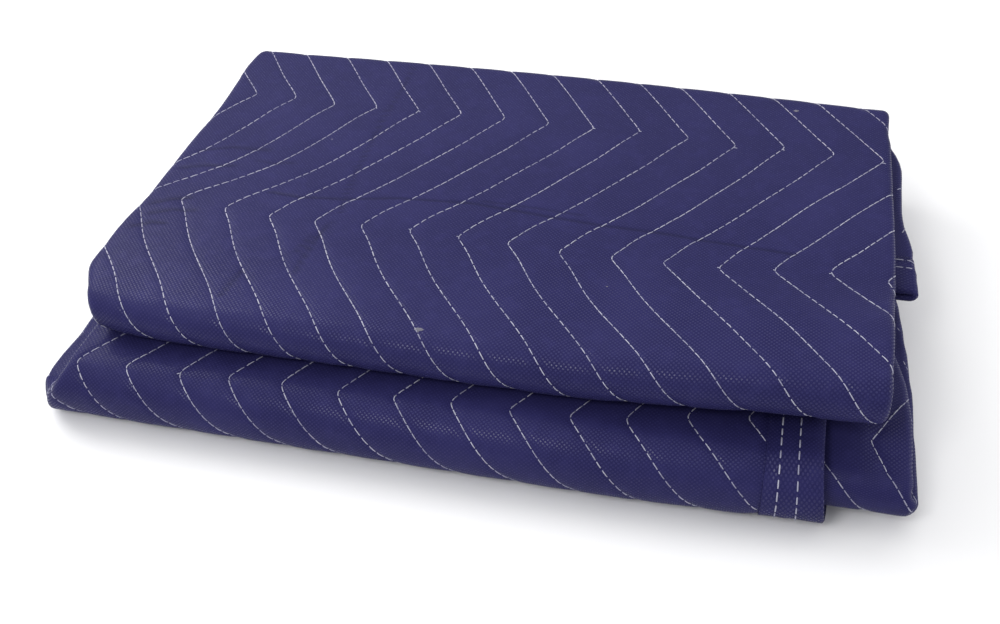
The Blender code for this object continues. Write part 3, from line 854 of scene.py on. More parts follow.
@dataclass
class QuiltedPanel:
    """The folded quilted cloth as one closed thin sheet."""

    name: str = "quilted_cloth"
    node: str = "quilted_panel"
    flat_width: float = WIDE_END * PITCH
    flat_length: float = LONG_END * PITCH
    shares: tuple[float, ...] = (0.0, 0.03, 0.07, 0.13, 0.23, 0.36, 0.5, 0.64, 0.77, 0.87, 0.93, 0.97)
    quilting: Quilting = Quilting()
    creases: Creases = Creases()
    long_crease: tuple[float, float] = (0.505, 0.635)

    def row_steps(self) -> Iterator[tuple[float, float, float, str]]:
        """Yield stretches of rows: start, end, step in t, and the kind of their columns."""
        upper, lower, plain = "upper", "lower", "plain"
        crease_start, crease_end = (STARTS[2] + share * RUN_LENGTHS[2] for share in self.long_crease)
        yield 0.0, STARTS[1], 0.26, plain
        yield STARTS[1], STARTS[2], 0.062, upper
        yield STARTS[2], crease_start, 0.056, upper
        yield crease_start, crease_end, 0.028, upper
        yield crease_end, STARTS[3], 0.056, upper
        yield STARTS[3], STARTS[4], 0.036, upper
        yield STARTS[4], STARTS[4] + 0.4, 0.08, upper
        yield STARTS[4] + 0.4, STARTS[5], 0.3, plain
        yield STARTS[5], STARTS[6], 0.06, lower
        yield STARTS[6], STARTS[7] - 0.3, 0.35, plain
        yield STARTS[7] - 0.3, STARTS[7], 0.1, plain
        yield STARTS[7], STARTS[8], 0.034, lower
        yield STARTS[8], STARTS[8] + 1.2, 0.06, lower
        yield STARTS[8] + 1.2, LONG_END, 0.3, plain

    def plain_columns(self) -> list[float]:
        """Return the places s of the columns that every row has."""
        places = [0.0, 0.4, UNIT_TAPE + 0.02, 1.22, 3.0]
        places += [EDGES[1] - (14.0 - x) for x in RIGHT_NODES]
        places += [EDGES[1] - 1.0, EDGES[1] - 0.5]
        places += [EDGES[1] + BAND_WIDTHS[1] * i / 10 for i in range(11)]
        places += [EDGES[3] - (x + 0.6) for x in (*LEFT_NODES, 3.0, 5.0, 7.0, *RIGHT_NODES)]
        places += [EDGES[3] + BAND_WIDTHS[3] * i / 12 for i in range(13)]
        places += [EDGES[4] + (x + 0.6) for x in (*LEFT_NODES, 3.0, 5.0, 7.0, *RIGHT_NODES)]
        places += [WIDE_END - 1.22, WIDE_END - UNIT_TAPE - 0.02, WIDE_END - 0.4, WIDE_END]
        return sorted(set(round(place, 4) for place in places))

    def fine_columns(self, t: float, level: Level, low: float, high: float) -> list[tuple[float, float]]:
        """Return (key, s) of the columns that follow the stitch lines between low and high."""
        columns = []
        sign = -1.0 if level == Level.UPPER else 1.0
        for number in range(-6, 22):
            for share in self.shares:
                x = self.quilting.between_x(level, number + share, t)
                s, own = self.quilting.place(level, x, t)
                if own and low < s < high:
                    columns.append((100.0 + sign * (number + share), s))
        return sorted(columns)

    def make_row(self, t: float, kind: str) -> Row:
        """Return the row of columns at t."""
        plain = self.plain_columns()
        margin = 0.03
        stretches = []
        if kind == "upper":
            stretches = [(Level.UPPER, EDGES[2] + margin, EDGES[3] - margin, 2000.0)]
        if kind == "lower":
            stretches = [
                (Level.FLAP, EDGES[1] - 1.9, EDGES[1] - margin, 1000.0),
                (Level.LOWER, EDGES[4] + margin, WIDE_END - UNIT_TAPE - margin, 4000.0),
            ]
        columns = []
        for s in plain:
            if not any(low - 1e-6 < s < high + 1e-6 for _, low, high, _ in stretches):
                band = sum(s >= edge - 1e-6 for edge in EDGES[1:-1])
                base = 1000.0 * (band + 1) + (0.0 if s <= self.band_middle(band) else 500.0)
                columns.append((base + s, s))
        for level, low, high, base in stretches:
            columns += [(base + key + 100.0, s) for key, s in self.fine_columns(t, level, low, high)]
        return Row(t, kind, sorted(columns, key=lambda column: column[1]))

    @staticmethod
    def band_middle(band: int) -> float:
        """Return the place s in the middle of a band."""
        return 0.5 * (EDGES[band] + EDGES[band + 1])

    def rows(self) -> list[Row]:
        """Return all rows along the blanket."""
        rows = []
        for start, end, step, kind in self.row_steps():
            count = max(1, round((end - start) / step))
            for i in range(count):
                rows.append(self.make_row(start + (end - start) * i / count, kind))
        rows.append(self.make_row(LONG_END, "plain"))
        return rows

    def height(self, s: float, t: float) -> float:
        """Return how far the outer face stands off the middle of the cloth, in metres."""
        return FoldedStrip.half_thickness(s, t) + self.quilting.relief(s, t) - self.crease_at(s, t)[0]

    def crease_at(self, s: float, t: float) -> tuple[float, float]:
        """Return the creases' depth at a place, in metres, and their painted shade, 0 to 1."""
        if not (EDGES[2] < s < EDGES[3] and STARTS[2] <= t <= STARTS[3] + 0.2):
            return 0.0, 0.0
        x = FoldedStrip.x_of(s, t, Band.MIDDLE)
        return self.creases.dip(x, FoldedStrip.middle(t, x)[0])

    @staticmethod
    def join_rows(bm: bmesh.types.BMesh, first: Row, second: Row,
                  low: list[bmesh.types.BMVert], high: list[bmesh.types.BMVert]) -> None:
        """Join two neighbouring rows of points with faces.

        Args:
            bm: mesh to add to.
            first: one row.
            second: the next row.
            low: the first row's points.
            high: the second row's points.
        """
        by_key = first.kind == second.kind
        column = 0 if by_key else 1
        i = j = 0
        while i < len(low) - 1 or j < len(high) - 1:
            here = first.columns[i + 1][column] if i < len(low) - 1 else math.inf
            there = second.columns[j + 1][column] if j < len(high) - 1 else math.inf
            if abs(here - there) < 1e-6:
                bm.faces.new((low[i], low[i + 1], high[j + 1], high[j]))
                i += 1
                j += 1
            elif here < there:
                bm.faces.new((low[i], low[i + 1], high[j]))
                i += 1
            else:
                bm.faces.new((low[i], high[j + 1], high[j]))
                j += 1

    def build(self) -> bpy.types.Object:
        """Build the sheet's mesh, with its flat lay-out in metres as UVs.

        Returns:
            The cloth object.
        """
        bm = bmesh.new()
        flat = bm.verts.layers.float_vector.new("flat")
        painted_crease_shade = bm.verts.layers.float.new("painted_crease_shade")
        rows = self.rows()
        rims = []
        for outer in (True, False):
            face_rows = rows if outer else [self.make_row(row.t, "plain") for row in rows]
            grid = []
            for row in face_rows:
                line = []
                for _, s in row.columns:
                    out = self.height(s, row.t) if outer else -FoldedStrip.half_thickness(s, row.t)
                    point = FoldedStrip.point(s, row.t, out)
                    point.z = max(0.0, point.z)
                    vert = bm.verts.new(point)
                    vert[flat] = self.quilting.flat_place(s, row.t)
                    # Painted crease shade: how dark the top's creases are painted, kept for the material.
                    vert[painted_crease_shade] = self.crease_at(s, row.t)[1] if outer else 0.0
                    line.append(vert)
                grid.append(line)
            for k in range(len(rows) - 1):
                self.join_rows(bm, face_rows[k], face_rows[k + 1], grid[k], grid[k + 1])
            rims.append(grid)
        outer_grid, inner_grid = rims
        for side in (0, -1):
            for k in range(len(rows) - 1):
                outer_pair = (outer_grid[k][side], outer_grid[k + 1][side])
                inner_pair = (inner_grid[k + 1][side], inner_grid[k][side])
                bm.faces.new(outer_pair + inner_pair)
            for a, b, c, d in zip(outer_grid[side][:-1], outer_grid[side][1:],
                                  inner_grid[side][1:], inner_grid[side][:-1]):
                bm.faces.new((a, b, c, d))
        return finish_mesh(bm, self.name, "flat")

    def dress(self, cloth: "ClothFinish") -> bpy.types.Object:
        obj = self.build()
        obj.data.materials.append(cloth.material())
        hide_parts(self.node)
        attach(obj, BODY)
        return obj


def finish_mesh(bm: bmesh.types.BMesh, name: str, flat_layer: str = "") -> bpy.types.Object:
    """Turn a bmesh into a smooth named object.

    Args:
        bm: the mesh, which is freed.
        name: the object's name.
        flat_layer: a vertex layer with flat coordinates to keep as UVs, if any.

    Returns:
        The new object, linked to the scene.
    """
    bmesh.ops.recalc_face_normals(bm, faces=bm.faces)
    if flat_layer:
        flat = bm.verts.layers.float_vector[flat_layer]
        uv = bm.loops.layers.uv.new("flat_cloth")
        for face in bm.faces:
            for loop in face.loops:
                place = loop.vert[flat]
                loop[uv].uv = (place[0], place[1])
    mesh = bpy.data.meshes.new(name)
    bm.to_mesh(mesh)
    bm.free()
    mesh.shade_smooth()
    if flat_layer and flat_layer in mesh.attributes:
        mesh.attributes.remove(mesh.attributes[flat_layer])
    obj = bpy.data.objects.new(name, mesh)
    bpy.context.scene.collection.objects.link(obj)
    return obj


class Sample(NamedTuple):
    """A point of a path over a surface."""

    distance: float
    point: Vector
    normal: Vector


@dataclass(frozen=True)
class ThreadShape:
    """Size of one stitch that shows on the face, in metres.

    A station is a share of the stitch's length, its share of the rise and of the radius.
    """

    length: float = 0.0064
    pause: float = 0.0013
    radius: float = 0.00040
    rise: float = 0.00032
    sides: int = 6
    stations: tuple[tuple[float, float, float], ...] = (
        (0.0, -1.0, 0.5), (0.07, 0.1, 0.9), (0.3, 0.75, 1.0),
        (0.7, 0.75, 1.0), (0.93, 0.1, 0.9), (1.0, -1.0, 0.5),
    )


@dataclass(frozen=True)
class StitchRow:
    """One row of stitches over a surface."""

    shape: ThreadShape
    seed: float

    def lay(self, bm: bmesh.types.BMesh, samples: list[Sample]) -> None:
        """Add the stitches along sampled points to a mesh.

        Args:
            bm: mesh to add to.
            samples: points of the surface along the row.
        """
        total = samples[-1].distance
        place = self.shape.pause * chance(self.seed, 5.0)
        count = 0
        while place < total:
            length = self.shape.length * (0.85 + 0.3 * chance(self.seed, count, 7.0))
            if place + length > total:
                length = total - place
                if length < 0.3 * self.shape.length:
                    break
            self.add_stitch(bm, samples, place, length)
            tight = self.shape.pause * (0.35 if chance(self.seed, count // 14, 3.0) < 0.4 else 1.0)
            place += length + tight * (0.6 + 0.8 * chance(self.seed, count, 9.0))
            count += 1

    def add_stitch(self, bm: bmesh.types.BMesh, samples: list[Sample], place: float, length: float) -> None:
        """Add one stitch, a short thread whose ends dip into the cloth.

        Args:
            bm: mesh to add to.
            samples: points of the surface along the row.
            place: where the stitch starts along the row, in metres.
            length: its length, in metres.
        """
        shape = self.shape
        rings = []
        for share, rise, girth in shape.stations:
            point, normal, ahead = read_path(samples, place + length * share)
            across = ahead.cross(normal).normalized()
            centre = point + normal * shape.rise * rise
            ring = []
            for k in range(shape.sides):
                turn = math.tau * k / shape.sides
                offset = across * math.cos(turn) + normal * math.sin(turn) * 0.8
                ring.append(bm.verts.new(centre + offset * shape.radius * girth))
            rings.append(ring)
        for ring, following in zip(rings[:-1], rings[1:]):
            for k in range(shape.sides):
                n = (k + 1) % shape.sides
                bm.faces.new((ring[k], ring[n], following[n], following[k]))
        bm.faces.new(tuple(reversed(rings[0])))
        bm.faces.new(rings[-1])


def read_path(samples: list[Sample], distance: float) -> tuple[Vector, Vector, Vector]:
    """Read a sampled path.

    Args:
        samples: the path's points.
        distance: how far along it to read, in metres.

    Returns:
        The point, the normal and the direction there.
    """
    low, high = 0, len(samples) - 1
    while high - low > 1:
        middle = (low + high) // 2
        if samples[middle].distance <= distance:
            low = middle
        else:
            high = middle
    first, second = samples[low], samples[high]
    span = max(1e-9, second.distance - first.distance)
    ratio = min(1.0, max(0.0, (distance - first.distance) / span))
    point = first.point.lerp(second.point, ratio)
    normal = first.normal.lerp(second.normal, ratio).normalized()
    return point, normal, (second.point - first.point).normalized()


@dataclass
class QuiltingThread:
    """All stitches of the zigzag quilting that show, as a few joined meshes."""

    panel: QuiltedPanel
    shape: ThreadShape = ThreadShape()
    step: float = 0.03
    floor_clearance: float = 0.0016

    def surface(self, level: Level, number: int, t: float) -> tuple[Vector, Vector] | None:
        """Return the point and normal where a line crosses t, or None where it is hidden."""
        quilting = self.panel.quilting
        s, own = quilting.place(level, quilting.x_of(level, number, t), t)
        if not own or not self.visible(s, t):
            return None
        point, normal = surface_point(self.panel, s, t)
        return None if point.z < self.floor_clearance else (point, normal)

    @staticmethod
    def visible(s: float, t: float) -> bool:
        """Say whether stitches at a place can be seen from outside the stack."""
        lower = t >= STARTS[Run.LOWER_BACK_FOLD]
        if FoldedStrip.edge_distance(s, t) < TAPE_WIDTH:
            return False
        if EDGES[1] <= s <= EDGES[2] or EDGES[3] <= s <= EDGES[4]:
            return True
        if s < EDGES[1]:
            return lower and STARTS[7] <= t <= STARTS[8] + 2.3 and s > EDGES[1] - 1.8
        if s < EDGES[3]:
            return STARTS[1] <= t <= STARTS[4] + 0.3
        return STARTS[5] <= t <= STARTS[6] or STARTS[7] <= t <= STARTS[8] + 1.3

    def pieces(self, level: Level, number: int, low: float, high: float) -> Iterator[list[Sample]]:
        """Follow one stitch line and leave out what is hidden.

        Args:
            level: the level that the line belongs to.
            number: the line's number.
            low: place t where the search starts.
            high: place t where it ends.

        Yields:
            The stretches that show, as sampled points.
        """
        samples: list[Sample] = []
        steps = int((high - low) / self.step)
        for i in range(steps + 1):
            found = self.surface(level, number, low + (high - low) * i / steps)
            if found is None:
                if len(samples) > 2:
                    yield samples
                samples = []
                continue
            add_sample(samples, *found)
        if len(samples) > 2:
            yield samples

    def spur(self, bm: bmesh.types.BMesh, spur: Spur) -> None:
        """Add one loose thread end that stands out from a tip."""
        samples: list[Sample] = []
        quilting = self.panel.quilting
        t = quilting.tip_place(spur)
        x = quilting.x_of(spur.level, spur.number, t)
        for i in range(5):
            s, own = quilting.place(spur.level, x + spur.across * i / 4, t + spur.forward * i / 4)
            if own:
                add_sample(samples, *surface_point(self.panel, s, t + spur.forward * i / 4))
        if len(samples) > 2:
            row = StitchRow(self.shape, 91.0)
            row.add_stitch(bm, samples, 0.0, samples[-1].distance)

    def build(self, level: Level, low: float, high: float, name: str) -> bpy.types.Object:
        """Build the stitches of one level between two places along the blanket.

        Args:
            level: the level whose lines are stitched.
            low: place t where the stitches start.
            high: place t where they end.
            name: the object's name.

        Returns:
            The stitches, joined in one object.
        """
        bm = bmesh.new()
        for number in range(-5, 21):
            for part, samples in enumerate(self.pieces(level, number, low, high)):
                StitchRow(self.shape, number * 3.7 + part).lay(bm, samples)
        for spur in self.panel.quilting.spurs:
            if spur.level == level:
                self.spur(bm, spur)
        return finish_mesh(bm, name)


def add_sample(samples: list[Sample], point: Vector, normal: Vector) -> None:
    """Add a point to a path, with its distance from the path's start."""
    distance = samples[-1].distance + (point - samples[-1].point).length if samples else 0.0
    samples.append(Sample(distance, point, normal))


def surface_point(panel: QuiltedPanel, s: float, t: float) -> tuple[Vector, Vector]:
    """Read the cloth's outer face, with its relief.

    Args:
        panel: the cloth.
        s: place across the blanket.
        t: place along it.

    Returns:
        The world point and the face's normal there.
    """
    out = panel.height(s, t)
    point = FoldedStrip.point(s, t, out)
    deeper = FoldedStrip.point(s, t, out - 0.001)
    return point, (point - deeper).normalized()


class Fleck(NamedTuple):
    """A speck of lint: x in pitches, place t along the blanket, and half width in metres."""

    x: float
    t: float
    half_width: float


@dataclass
class Lint:
    """Small grey specks that cling to the cloth."""

    panel: QuiltedPanel
    name: str = "lint_specks"
    flecks: tuple[Fleck, ...] = (
        Fleck(6.02, STARTS[3] - 0.03, 0.0032),
        Fleck(12.20, STARTS[2] + 0.28, 0.0022),
        Fleck(2.40, STARTS[2] + 3.1, 0.0010),
        Fleck(9.10, STARTS[2] + 6.7, 0.0010),
    )
    corners: int = 11

    def build(self) -> bpy.types.Object:
        """Build every speck as a thin uneven disc that follows the cloth."""
        bm = bmesh.new()
        for fleck in self.flecks:
            middle = self.lift(bm, fleck.x, fleck.t, 0.0006)
            rim = []
            for k in range(self.corners):
                turn = math.tau * k / self.corners
                reach = fleck.half_width / PITCH * (0.6 + 0.6 * chance(fleck.x, k, 4.0))
                rim.append(self.lift(bm, fleck.x + reach * math.cos(turn),
                                     fleck.t + 0.7 * reach * math.sin(turn), 0.0001))
            for k in range(self.corners):
                bm.faces.new((middle, rim[k], rim[(k + 1) % self.corners]))
        return finish_mesh(bm, self.name)

    def lift(self, bm: bmesh.types.BMesh, x: float, t: float, rise: float) -> bmesh.types.BMVert:
        """Add a point a little above the cloth."""
        point, normal = surface_point(self.panel, FoldedStrip.s_of(x, t, Band.MIDDLE), t)
        return bm.verts.new(point + normal * rise)

    def dress(self, finish: "ThreadFinish") -> bpy.types.Object:
        """Build the specks and give them their finish."""
        obj = self.build()
        obj.data.materials.append(finish.material())
        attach(obj, BODY)
        return obj


@dataclass
class Binding:
    """A strip of cloth folded over one edge of the panel, with two rows of stitches."""

    name: str
    node: str
    last: bool
    lengthwise: bool
    rows: tuple[float, float]
    panel: QuiltedPanel

    def outline(self) -> list[tuple[float, float]]:
        """Return the strip's section: distance in from the edge, and offset to one side."""
        inner = HALF_EDGE + GAP
        outer = inner + TAPE
        edge = -(GAP + TAPE)
        loop = [(TAPE_WIDTH, outer), (TAPE_WIDTH * 0.745, outer - 0.0003), (TAPE_WIDTH * 0.58, outer + 0.0002)]
        loop += [(TAPE_WIDTH * 0.415, outer - 0.0003), (TAPE_WIDTH * 0.2, outer), (0.0, outer)]
        loop += [(edge, inner * 0.6), (edge, -inner * 0.6), (0.0, -outer), (TAPE_WIDTH, -outer)]
        loop += [(TAPE_WIDTH, -inner), (-GAP, -inner), (-GAP, inner), (TAPE_WIDTH, inner)]
        return loop

    def place(self, station: float, inward: float) -> tuple[float, float]:
        """Return the place (s, t) of a station along the edge, inward metres from it."""
        end = (WIDE_END if self.lengthwise else LONG_END) if self.last else 0.0
        across = end - inward / PITCH if self.last else end + inward / PITCH
        return (across, station) if self.lengthwise else (station, across)

    def stations(self) -> list[float]:
        """Return the stations along the edge."""
        if self.lengthwise:
            return [row.t for row in self.panel.rows()]
        margin = (TAPE_WIDTH + 0.0006) / PITCH
        inner = [s for s in self.panel.plain_columns() if margin < s < WIDE_END - margin]
        return [margin, *inner, WIDE_END - margin]

    def ripple(self, station: float, inward: float) -> float:
        """Return the small wrinkles of the strip, in metres."""
        middle = hump(inward, -0.002, TAPE_WIDTH + 0.002)
        return 0.0006 * middle * noise.noise(Vector((station * 4.0, inward * 20.0, 1.7)))

    def build(self) -> bpy.types.Object:
        """Build the strip as a closed sweep round the edge."""
        bm = bmesh.new()
        flat = bm.verts.layers.float_vector.new("flat")
        rings = []
        girth = []
        total = 0.0
        outline = self.outline()
        for k, (inward, out) in enumerate(outline):
            if k:
                total += math.hypot(inward - outline[k - 1][0], out - outline[k - 1][1])
            girth.append(total)
        for station in self.stations():
            ring = []
            for (inward, out), length in zip(outline, girth):
                s, t = self.place(station, inward)
                bulge = self.ripple(station, inward) if out > HALF_EDGE + GAP + 0.5 * TAPE else 0.0
                point = FoldedStrip.beyond(s, t, out + bulge)
                point.z = max(0.0, point.z)
                vert = bm.verts.new(point)
                vert[flat] = (station * PITCH, length, 0.0)
                ring.append(vert)
            rings.append(ring)
        count = len(outline)
        for ring, following in zip(rings[:-1], rings[1:]):
            for k in range(count):
                n = (k + 1) % count
                bm.faces.new((ring[k], ring[n], following[n], following[k]))
        bm.faces.new(rings[0])
        bm.faces.new(rings[-1])
        return finish_mesh(bm, self.name, "flat")

    def build_stitches(self, shape: ThreadShape) -> bpy.types.Object:
        """Build the two rows of stitches that hold the strip, where they clear the floor."""
        bm = bmesh.new()
        stations = self.stations()
        for number, inward in enumerate(self.rows):
            runs: list[list[Sample]] = [[]]
            steps = int((stations[-1] - stations[0]) / 0.05)
            for i in range(steps + 1):
                station = stations[0] + (stations[-1] - stations[0]) * i / steps
                s, t = self.place(station, inward * PITCH)
                out = HALF_EDGE + GAP + TAPE - 0.0002
                point = FoldedStrip.point(s, t, out)
                normal = (point - FoldedStrip.point(s, t, out - 0.001)).normalized()
                if point.z < QuiltingThread.floor_clearance:
                    runs.append([])
                else:
                    add_sample(runs[-1], point, normal)
            for samples in runs:
                if len(samples) > 2:
                    StitchRow(shape, 50.0 + number).lay(bm, samples)
        return finish_mesh(bm, self.name + "_stitches")

    def dress(self, cloth: "ClothFinish", thread: "ThreadFinish", shape: ThreadShape) -> list[bpy.types.Object]:
        """Build the strip and its stitches and give them their finishes."""
        strip = self.build()
        strip.data.materials.append(cloth.material())
        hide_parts(self.node)
        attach(strip, BODY)
        stitches = self.build_stitches(shape)
        stitches.data.materials.append(thread.material())
        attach(stitches, BODY)
        return [strip, stitches]


Socket = bpy.types.NodeSocket


@dataclass
class NodeNet:
    """Small helper that adds nodes to one material."""

    tree: bpy.types.NodeTree

    def add(self, kind: str, **values: object) -> bpy.types.Node:
        """Add a node and set its plain properties."""
        node = self.tree.nodes.new(kind)
        for key, value in values.items():
            setattr(node, key, value)
        return node

    def link(self, source: Socket, target: Socket) -> None:
        """Link two sockets."""
        self.tree.links.new(source, target)

    def math(self, operation: str, first: Socket | float, second: Socket | float = 0.0,
             third: Socket | float = 0.0) -> Socket:
        """Add a math node and return its result."""
        node = self.add("ShaderNodeMath", operation=operation)
        for socket, value in zip(node.inputs, (first, second, third)):
            if isinstance(value, (int, float)):
                socket.default_value = value
            else:
                self.link(value, socket)
        return node.outputs[0]

    def vector(self, operation: str, first: Socket, second: Socket | Sequence[float]) -> Socket:
        """Add a vector math node and return its vector."""
        node = self.add("ShaderNodeVectorMath", operation=operation)
        self.link(first, node.inputs[0])
        if isinstance(second, bpy.types.NodeSocket):
            self.link(second, node.inputs[1])
        else:
            node.inputs[1].default_value = second
        return node.outputs["Vector"]

    def ease(self, value: Socket, low: float, high: float, to_low: float = 0.0, to_high: float = 1.0) -> Socket:
        """Map a value from low and high to new limits with a soft step."""
        node = self.add("ShaderNodeMapRange", interpolation_type="SMOOTHSTEP")
        self.link(value, node.inputs["Value"])
        for name, number in (("From Min", low), ("From Max", high), ("To Min", to_low), ("To Max", to_high)):
            node.inputs[name].default_value = number
        return node.outputs["Result"]

    def cloud(self, vector: Socket, scale: float, detail: float = 2.0) -> Socket:
        """Add soft noise and return its value."""
        node = self.add("ShaderNodeTexNoise")
        self.link(vector, node.inputs["Vector"])
        node.inputs["Scale"].default_value = scale
        node.inputs["Detail"].default_value = detail
        return node.outputs[0]

    def blend(self, factor: Socket | float, first: Socket | Sequence[float],
              second: Socket | Sequence[float]) -> Socket:
        """Blend two colours."""
        node = self.add("ShaderNodeMix", data_type="RGBA")
        for socket, value in ((node.inputs[0], factor), (node.inputs[6], first), (node.inputs[7], second)):
            if isinstance(value, bpy.types.NodeSocket):
                self.link(value, socket)
            else:
                socket.default_value = value
        return node.outputs[2]


@dataclass(frozen=True)
class ClothFinish:
    """Spunbonded cloth embossed with a slanting grid of small dots, painted lighter to stand in for their
    glint; the top's creases get painted shade.
    """

    name: str = "navy_nonwoven_cloth"
    colour: tuple[float, float, float, float] = (0.0120, 0.0110, 0.068, 1.0)
    # Colour of the embossed dots: the real dot pattern, painted lighter to stand in for the dots' glint.
    dot_pattern_glint_colour: tuple[float, float, float, float] = (0.0290, 0.0275, 0.106, 1.0)
    worn_colour: tuple[float, float, float, float] = (0.026, 0.024, 0.116, 1.0)
    # Painted shade colour for the top's creases.
    crease_shade_colour: tuple[float, float, float, float] = (0.006, 0.006, 0.034, 1.0)
    dot_pitch: float = 0.00235
    dot_radius: float = 0.29
    roughness: float = 0.82
    dot_roughness: float = 0.27
    specular: float = 0.19
    grid_turn: float = math.radians(45.0)
    dot_softness: float = 0.08
    dot_depth: float = 0.00004
    fibre_scale: float = 1400.0
    fibre_stretch: float = 0.35
    fibre_height: float = 0.00003
    patch_scale: float = 14.0
    fine_patch_scale: float = 90.0
    fine_patch_height: float = 0.0004
    # How strongly the painted crease shade darkens the colour.
    crease_shade_strength: float = 0.85

    def material(self) -> bpy.types.Material:
        """Return the cloth's material, made once."""
        if self.name in bpy.data.materials:
            return bpy.data.materials[self.name]
        material = bpy.data.materials.new(self.name)
        material.use_nodes = True
        net = NodeNet(material.node_tree)
        shader = material.node_tree.nodes["Principled BSDF"]
        place = net.add("ShaderNodeUVMap", uv_map="flat_cloth").outputs[0]
        solid = net.add("ShaderNodeTexCoord").outputs["Object"]
        turned = net.add("ShaderNodeVectorRotate", rotation_type="Z_AXIS")
        net.link(place, turned.inputs["Vector"])
        turned.inputs["Angle"].default_value = self.grid_turn
        grid = net.vector("DIVIDE", turned.outputs[0], (self.dot_pitch, self.dot_pitch, 1.0))
        cell = net.vector("SUBTRACT", net.vector("FRACTION", grid, (0.0, 0.0, 0.0)), (0.5, 0.5, 0.0))
        radius = net.add("ShaderNodeVectorMath", operation="LENGTH")
        net.link(cell, radius.inputs[0])
        inner, outer = self.dot_radius - self.dot_softness, self.dot_radius + self.dot_softness
        dots = net.ease(radius.outputs["Value"], inner, outer, 1.0, 0.0)
        fibre_place = net.vector("MULTIPLY", place, (1.0, self.fibre_stretch, 1.0))
        fibre = net.cloud(fibre_place, self.fibre_scale, 3.0)
        patch = net.cloud(solid, self.patch_scale, 3.0)
        fine_patch = net.cloud(solid, self.fine_patch_scale, 2.0)
        base = net.blend(net.ease(patch, 0.35, 0.75, 0.0, 0.35), self.colour, self.worn_colour)
        base = net.blend(net.ease(fine_patch, 0.45, 0.75, 0.0, 0.3), base, self.worn_colour)
        # Embossed dot pattern, painted lighter to stand in for the dots' glint.
        base = net.blend(net.math("MULTIPLY", dots, 0.8), base, self.dot_pattern_glint_colour)
        base = net.blend(net.ease(fibre, 0.45, 0.75, 0.0, 0.22), base, self.worn_colour)
        # Painted shade: the colour darkens along the top's creases, where shade falls.
        painted_crease_shade = net.add("ShaderNodeAttribute", attribute_name="painted_crease_shade").outputs["Fac"]
        base = net.blend(net.math("MULTIPLY", painted_crease_shade, self.crease_shade_strength), base, self.crease_shade_colour)
        net.link(base, shader.inputs["Base Color"])
        rough = net.math("ADD", net.math("MULTIPLY", dots, self.dot_roughness - self.roughness), self.roughness)
        rough = net.math("ADD", rough, net.math("MULTIPLY", net.math("SUBTRACT", fibre, 0.5), 0.15))
        net.link(rough, shader.inputs["Roughness"])
        shader.inputs["Specular IOR Level"].default_value = self.specular
        fibres = net.math("MULTIPLY", fibre, self.fibre_height)
        height = net.math("ADD", net.math("MULTIPLY", dots, -self.dot_depth), fibres)
        height = net.math("ADD", height, net.math("MULTIPLY", fine_patch, self.fine_patch_height))
        bump = net.add("ShaderNodeBump")
        bump.inputs["Strength"].default_value = 0.8
        bump.inputs["Distance"].default_value = 1.0
        net.link(height, bump.inputs["Height"])
        net.link(bump.outputs[0], shader.inputs["Normal"])
        return material


@dataclass(frozen=True)
class ThreadFinish:
    """Pale twisted thread."""

    name: str = "pale_thread"
    colour: tuple[float, float, float, float] = (0.44, 0.44, 0.55, 1.0)
    dull_colour: tuple[float, float, float, float] = (0.24, 0.24, 0.36, 1.0)
    roughness: float = 0.55
    sheen: float = 0.2
    patch_scale: float = 60.0
    twist_scale: float = 900.0
    twist_height: float = 0.0002

    def material(self) -> bpy.types.Material:
        """Return the thread's material, made once."""
        if self.name in bpy.data.materials:
            return bpy.data.materials[self.name]
        material = bpy.data.materials.new(self.name)
        material.use_nodes = True
        net = NodeNet(material.node_tree)
        shader = material.node_tree.nodes["Principled BSDF"]
        solid = net.add("ShaderNodeTexCoord").outputs["Object"]
        patch = net.cloud(solid, self.patch_scale, 2.0)
        twist = net.cloud(solid, self.twist_scale, 1.0)
        colour = net.blend(net.ease(patch, 0.3, 0.7), self.dull_colour, self.colour)
        net.link(colour, shader.inputs["Base Color"])
        shader.inputs["Roughness"].default_value = self.roughness
        shader.inputs["Sheen Weight"].default_value = self.sheen
        bump = net.add("ShaderNodeBump")
        bump.inputs["Strength"].default_value = 0.5
        bump.inputs["Distance"].default_value = self.twist_height
        net.link(twist, bump.inputs["Height"])
        net.link(bump.outputs[0], shader.inputs["Normal"])
        return material


class Lamp(NamedTuple):
    """A square soft light: its place, what it faces, its side in metres and its power."""

    name: str
    place: tuple[float, float, float]
    target: tuple[float, float, float]
    size: float
    power: float


